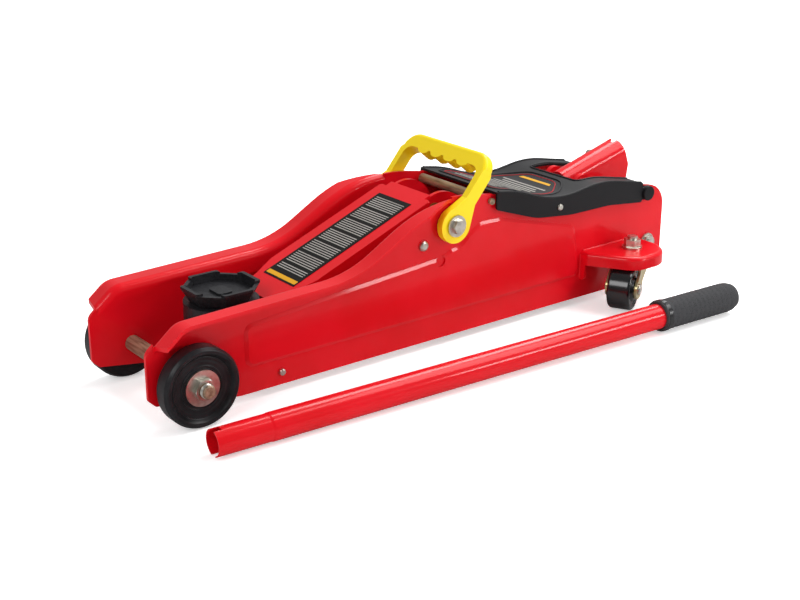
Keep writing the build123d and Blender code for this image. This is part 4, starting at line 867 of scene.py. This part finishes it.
def build_stage():
    """Sheet of studio paper just under the wheels, so that nothing lies in its plane."""
    deselect()
    bpy.ops.mesh.primitive_plane_add(size=12, location=(0, 0, -FLOOR_DROP))
    floor = bpy.context.object
    floor.name = "studio_floor"
    paint(floor, stage_material())


def build_world():
    """Even pale air, a little brighter behind the object, where the studio's back wall is lit."""
    world = bpy.data.worlds.new("studio_air")
    bpy.context.scene.world = world
    world.use_nodes = True
    tree = world.node_tree
    air = tree.nodes["Background"]
    air.inputs["Color"].default_value = (1, 1, 1, 1)
    place = add_node(tree, "ShaderNodeTexCoord")
    side = add_node(tree, "ShaderNodeVectorMath", {"operation": "DOT_PRODUCT"},
                    i0=place.outputs["Generated"])
    side.inputs[1].default_value = (-sin(VIEW_HEADING), cos(VIEW_HEADING), 0.0)
    level = add_node(tree, "ShaderNodeMapRange",
                     {"From Min": -0.6, "From Max": 0.9, "To Min": 0.30, "To Max": 0.75},
                     Value=side.outputs["Value"])
    seen = add_node(tree, "ShaderNodeLightPath")
    dimmed = add_node(tree, "ShaderNodeMapRange", {"To Min": 1.0, "To Max": 0.6},
                      Value=seen.outputs["Is Glossy Ray"])
    level = add_node(tree, "ShaderNodeMath", {"operation": "MULTIPLY"},
                     i0=level.outputs["Result"], i1=dimmed.outputs["Result"])
    most = add_node(tree, "ShaderNodeMath", {"operation": "MAXIMUM"},
                    i0=seen.outputs["Is Camera Ray"], i1=seen.outputs["Is Transmission Ray"])
    total = add_node(tree, "ShaderNodeMath", {"operation": "MAXIMUM"},
                     i0=most.outputs["Value"], i1=level.outputs["Value"])
    tree.links.new(total.outputs["Value"], air.inputs["Strength"])


def area_light(name, place, target, size, power):
    """Oblong lamp aimed at a point."""
    bpy.ops.object.light_add(type="AREA", location=place)
    lamp = bpy.context.object
    lamp.name = name
    lamp.data.shape = "RECTANGLE"
    lamp.data.size, lamp.data.size_y = size
    lamp.data.energy = power
    lamp.rotation_euler = (target - place).to_track_quat("-Z", "Y").to_euler()


def build_lights():
    """Large soft lamps above, in front and behind, and a strip that lines the pressed edges."""
    low, high = (Vector(corner) for corner in cad_box)
    centre = (low + high) / 2
    for name, offset, size, power in LAMPS:
        area_light(name, centre + Vector(offset), centre, size, power)


def build_camera():
    """Stands at the jack's left front, slightly above, as a product view does."""
    back = Vector((sin(VIEW_HEADING) * cos(VIEW_HEIGHT), -cos(VIEW_HEADING) * cos(VIEW_HEIGHT),
                   sin(VIEW_HEIGHT)))
    right = (-back).cross(Vector((0, 0, 1))).normalized()
    up = right.cross(-back)
    bpy.ops.object.camera_add()
    camera = bpy.context.object
    camera.matrix_world = Matrix((
        (right.x, up.x, back.x, VIEW_PLACE.x), (right.y, up.y, back.y, VIEW_PLACE.y),
        (right.z, up.z, back.z, VIEW_PLACE.z), (0, 0, 0, 1)))
    camera.data.sensor_width = VIEW_SENSOR
    camera.data.lens = VIEW_LENS
    bpy.context.scene.camera = camera
    bpy.context.scene.view_settings.view_transform = "Standard"


build_stage()
build_world()
build_lights()
build_camera()
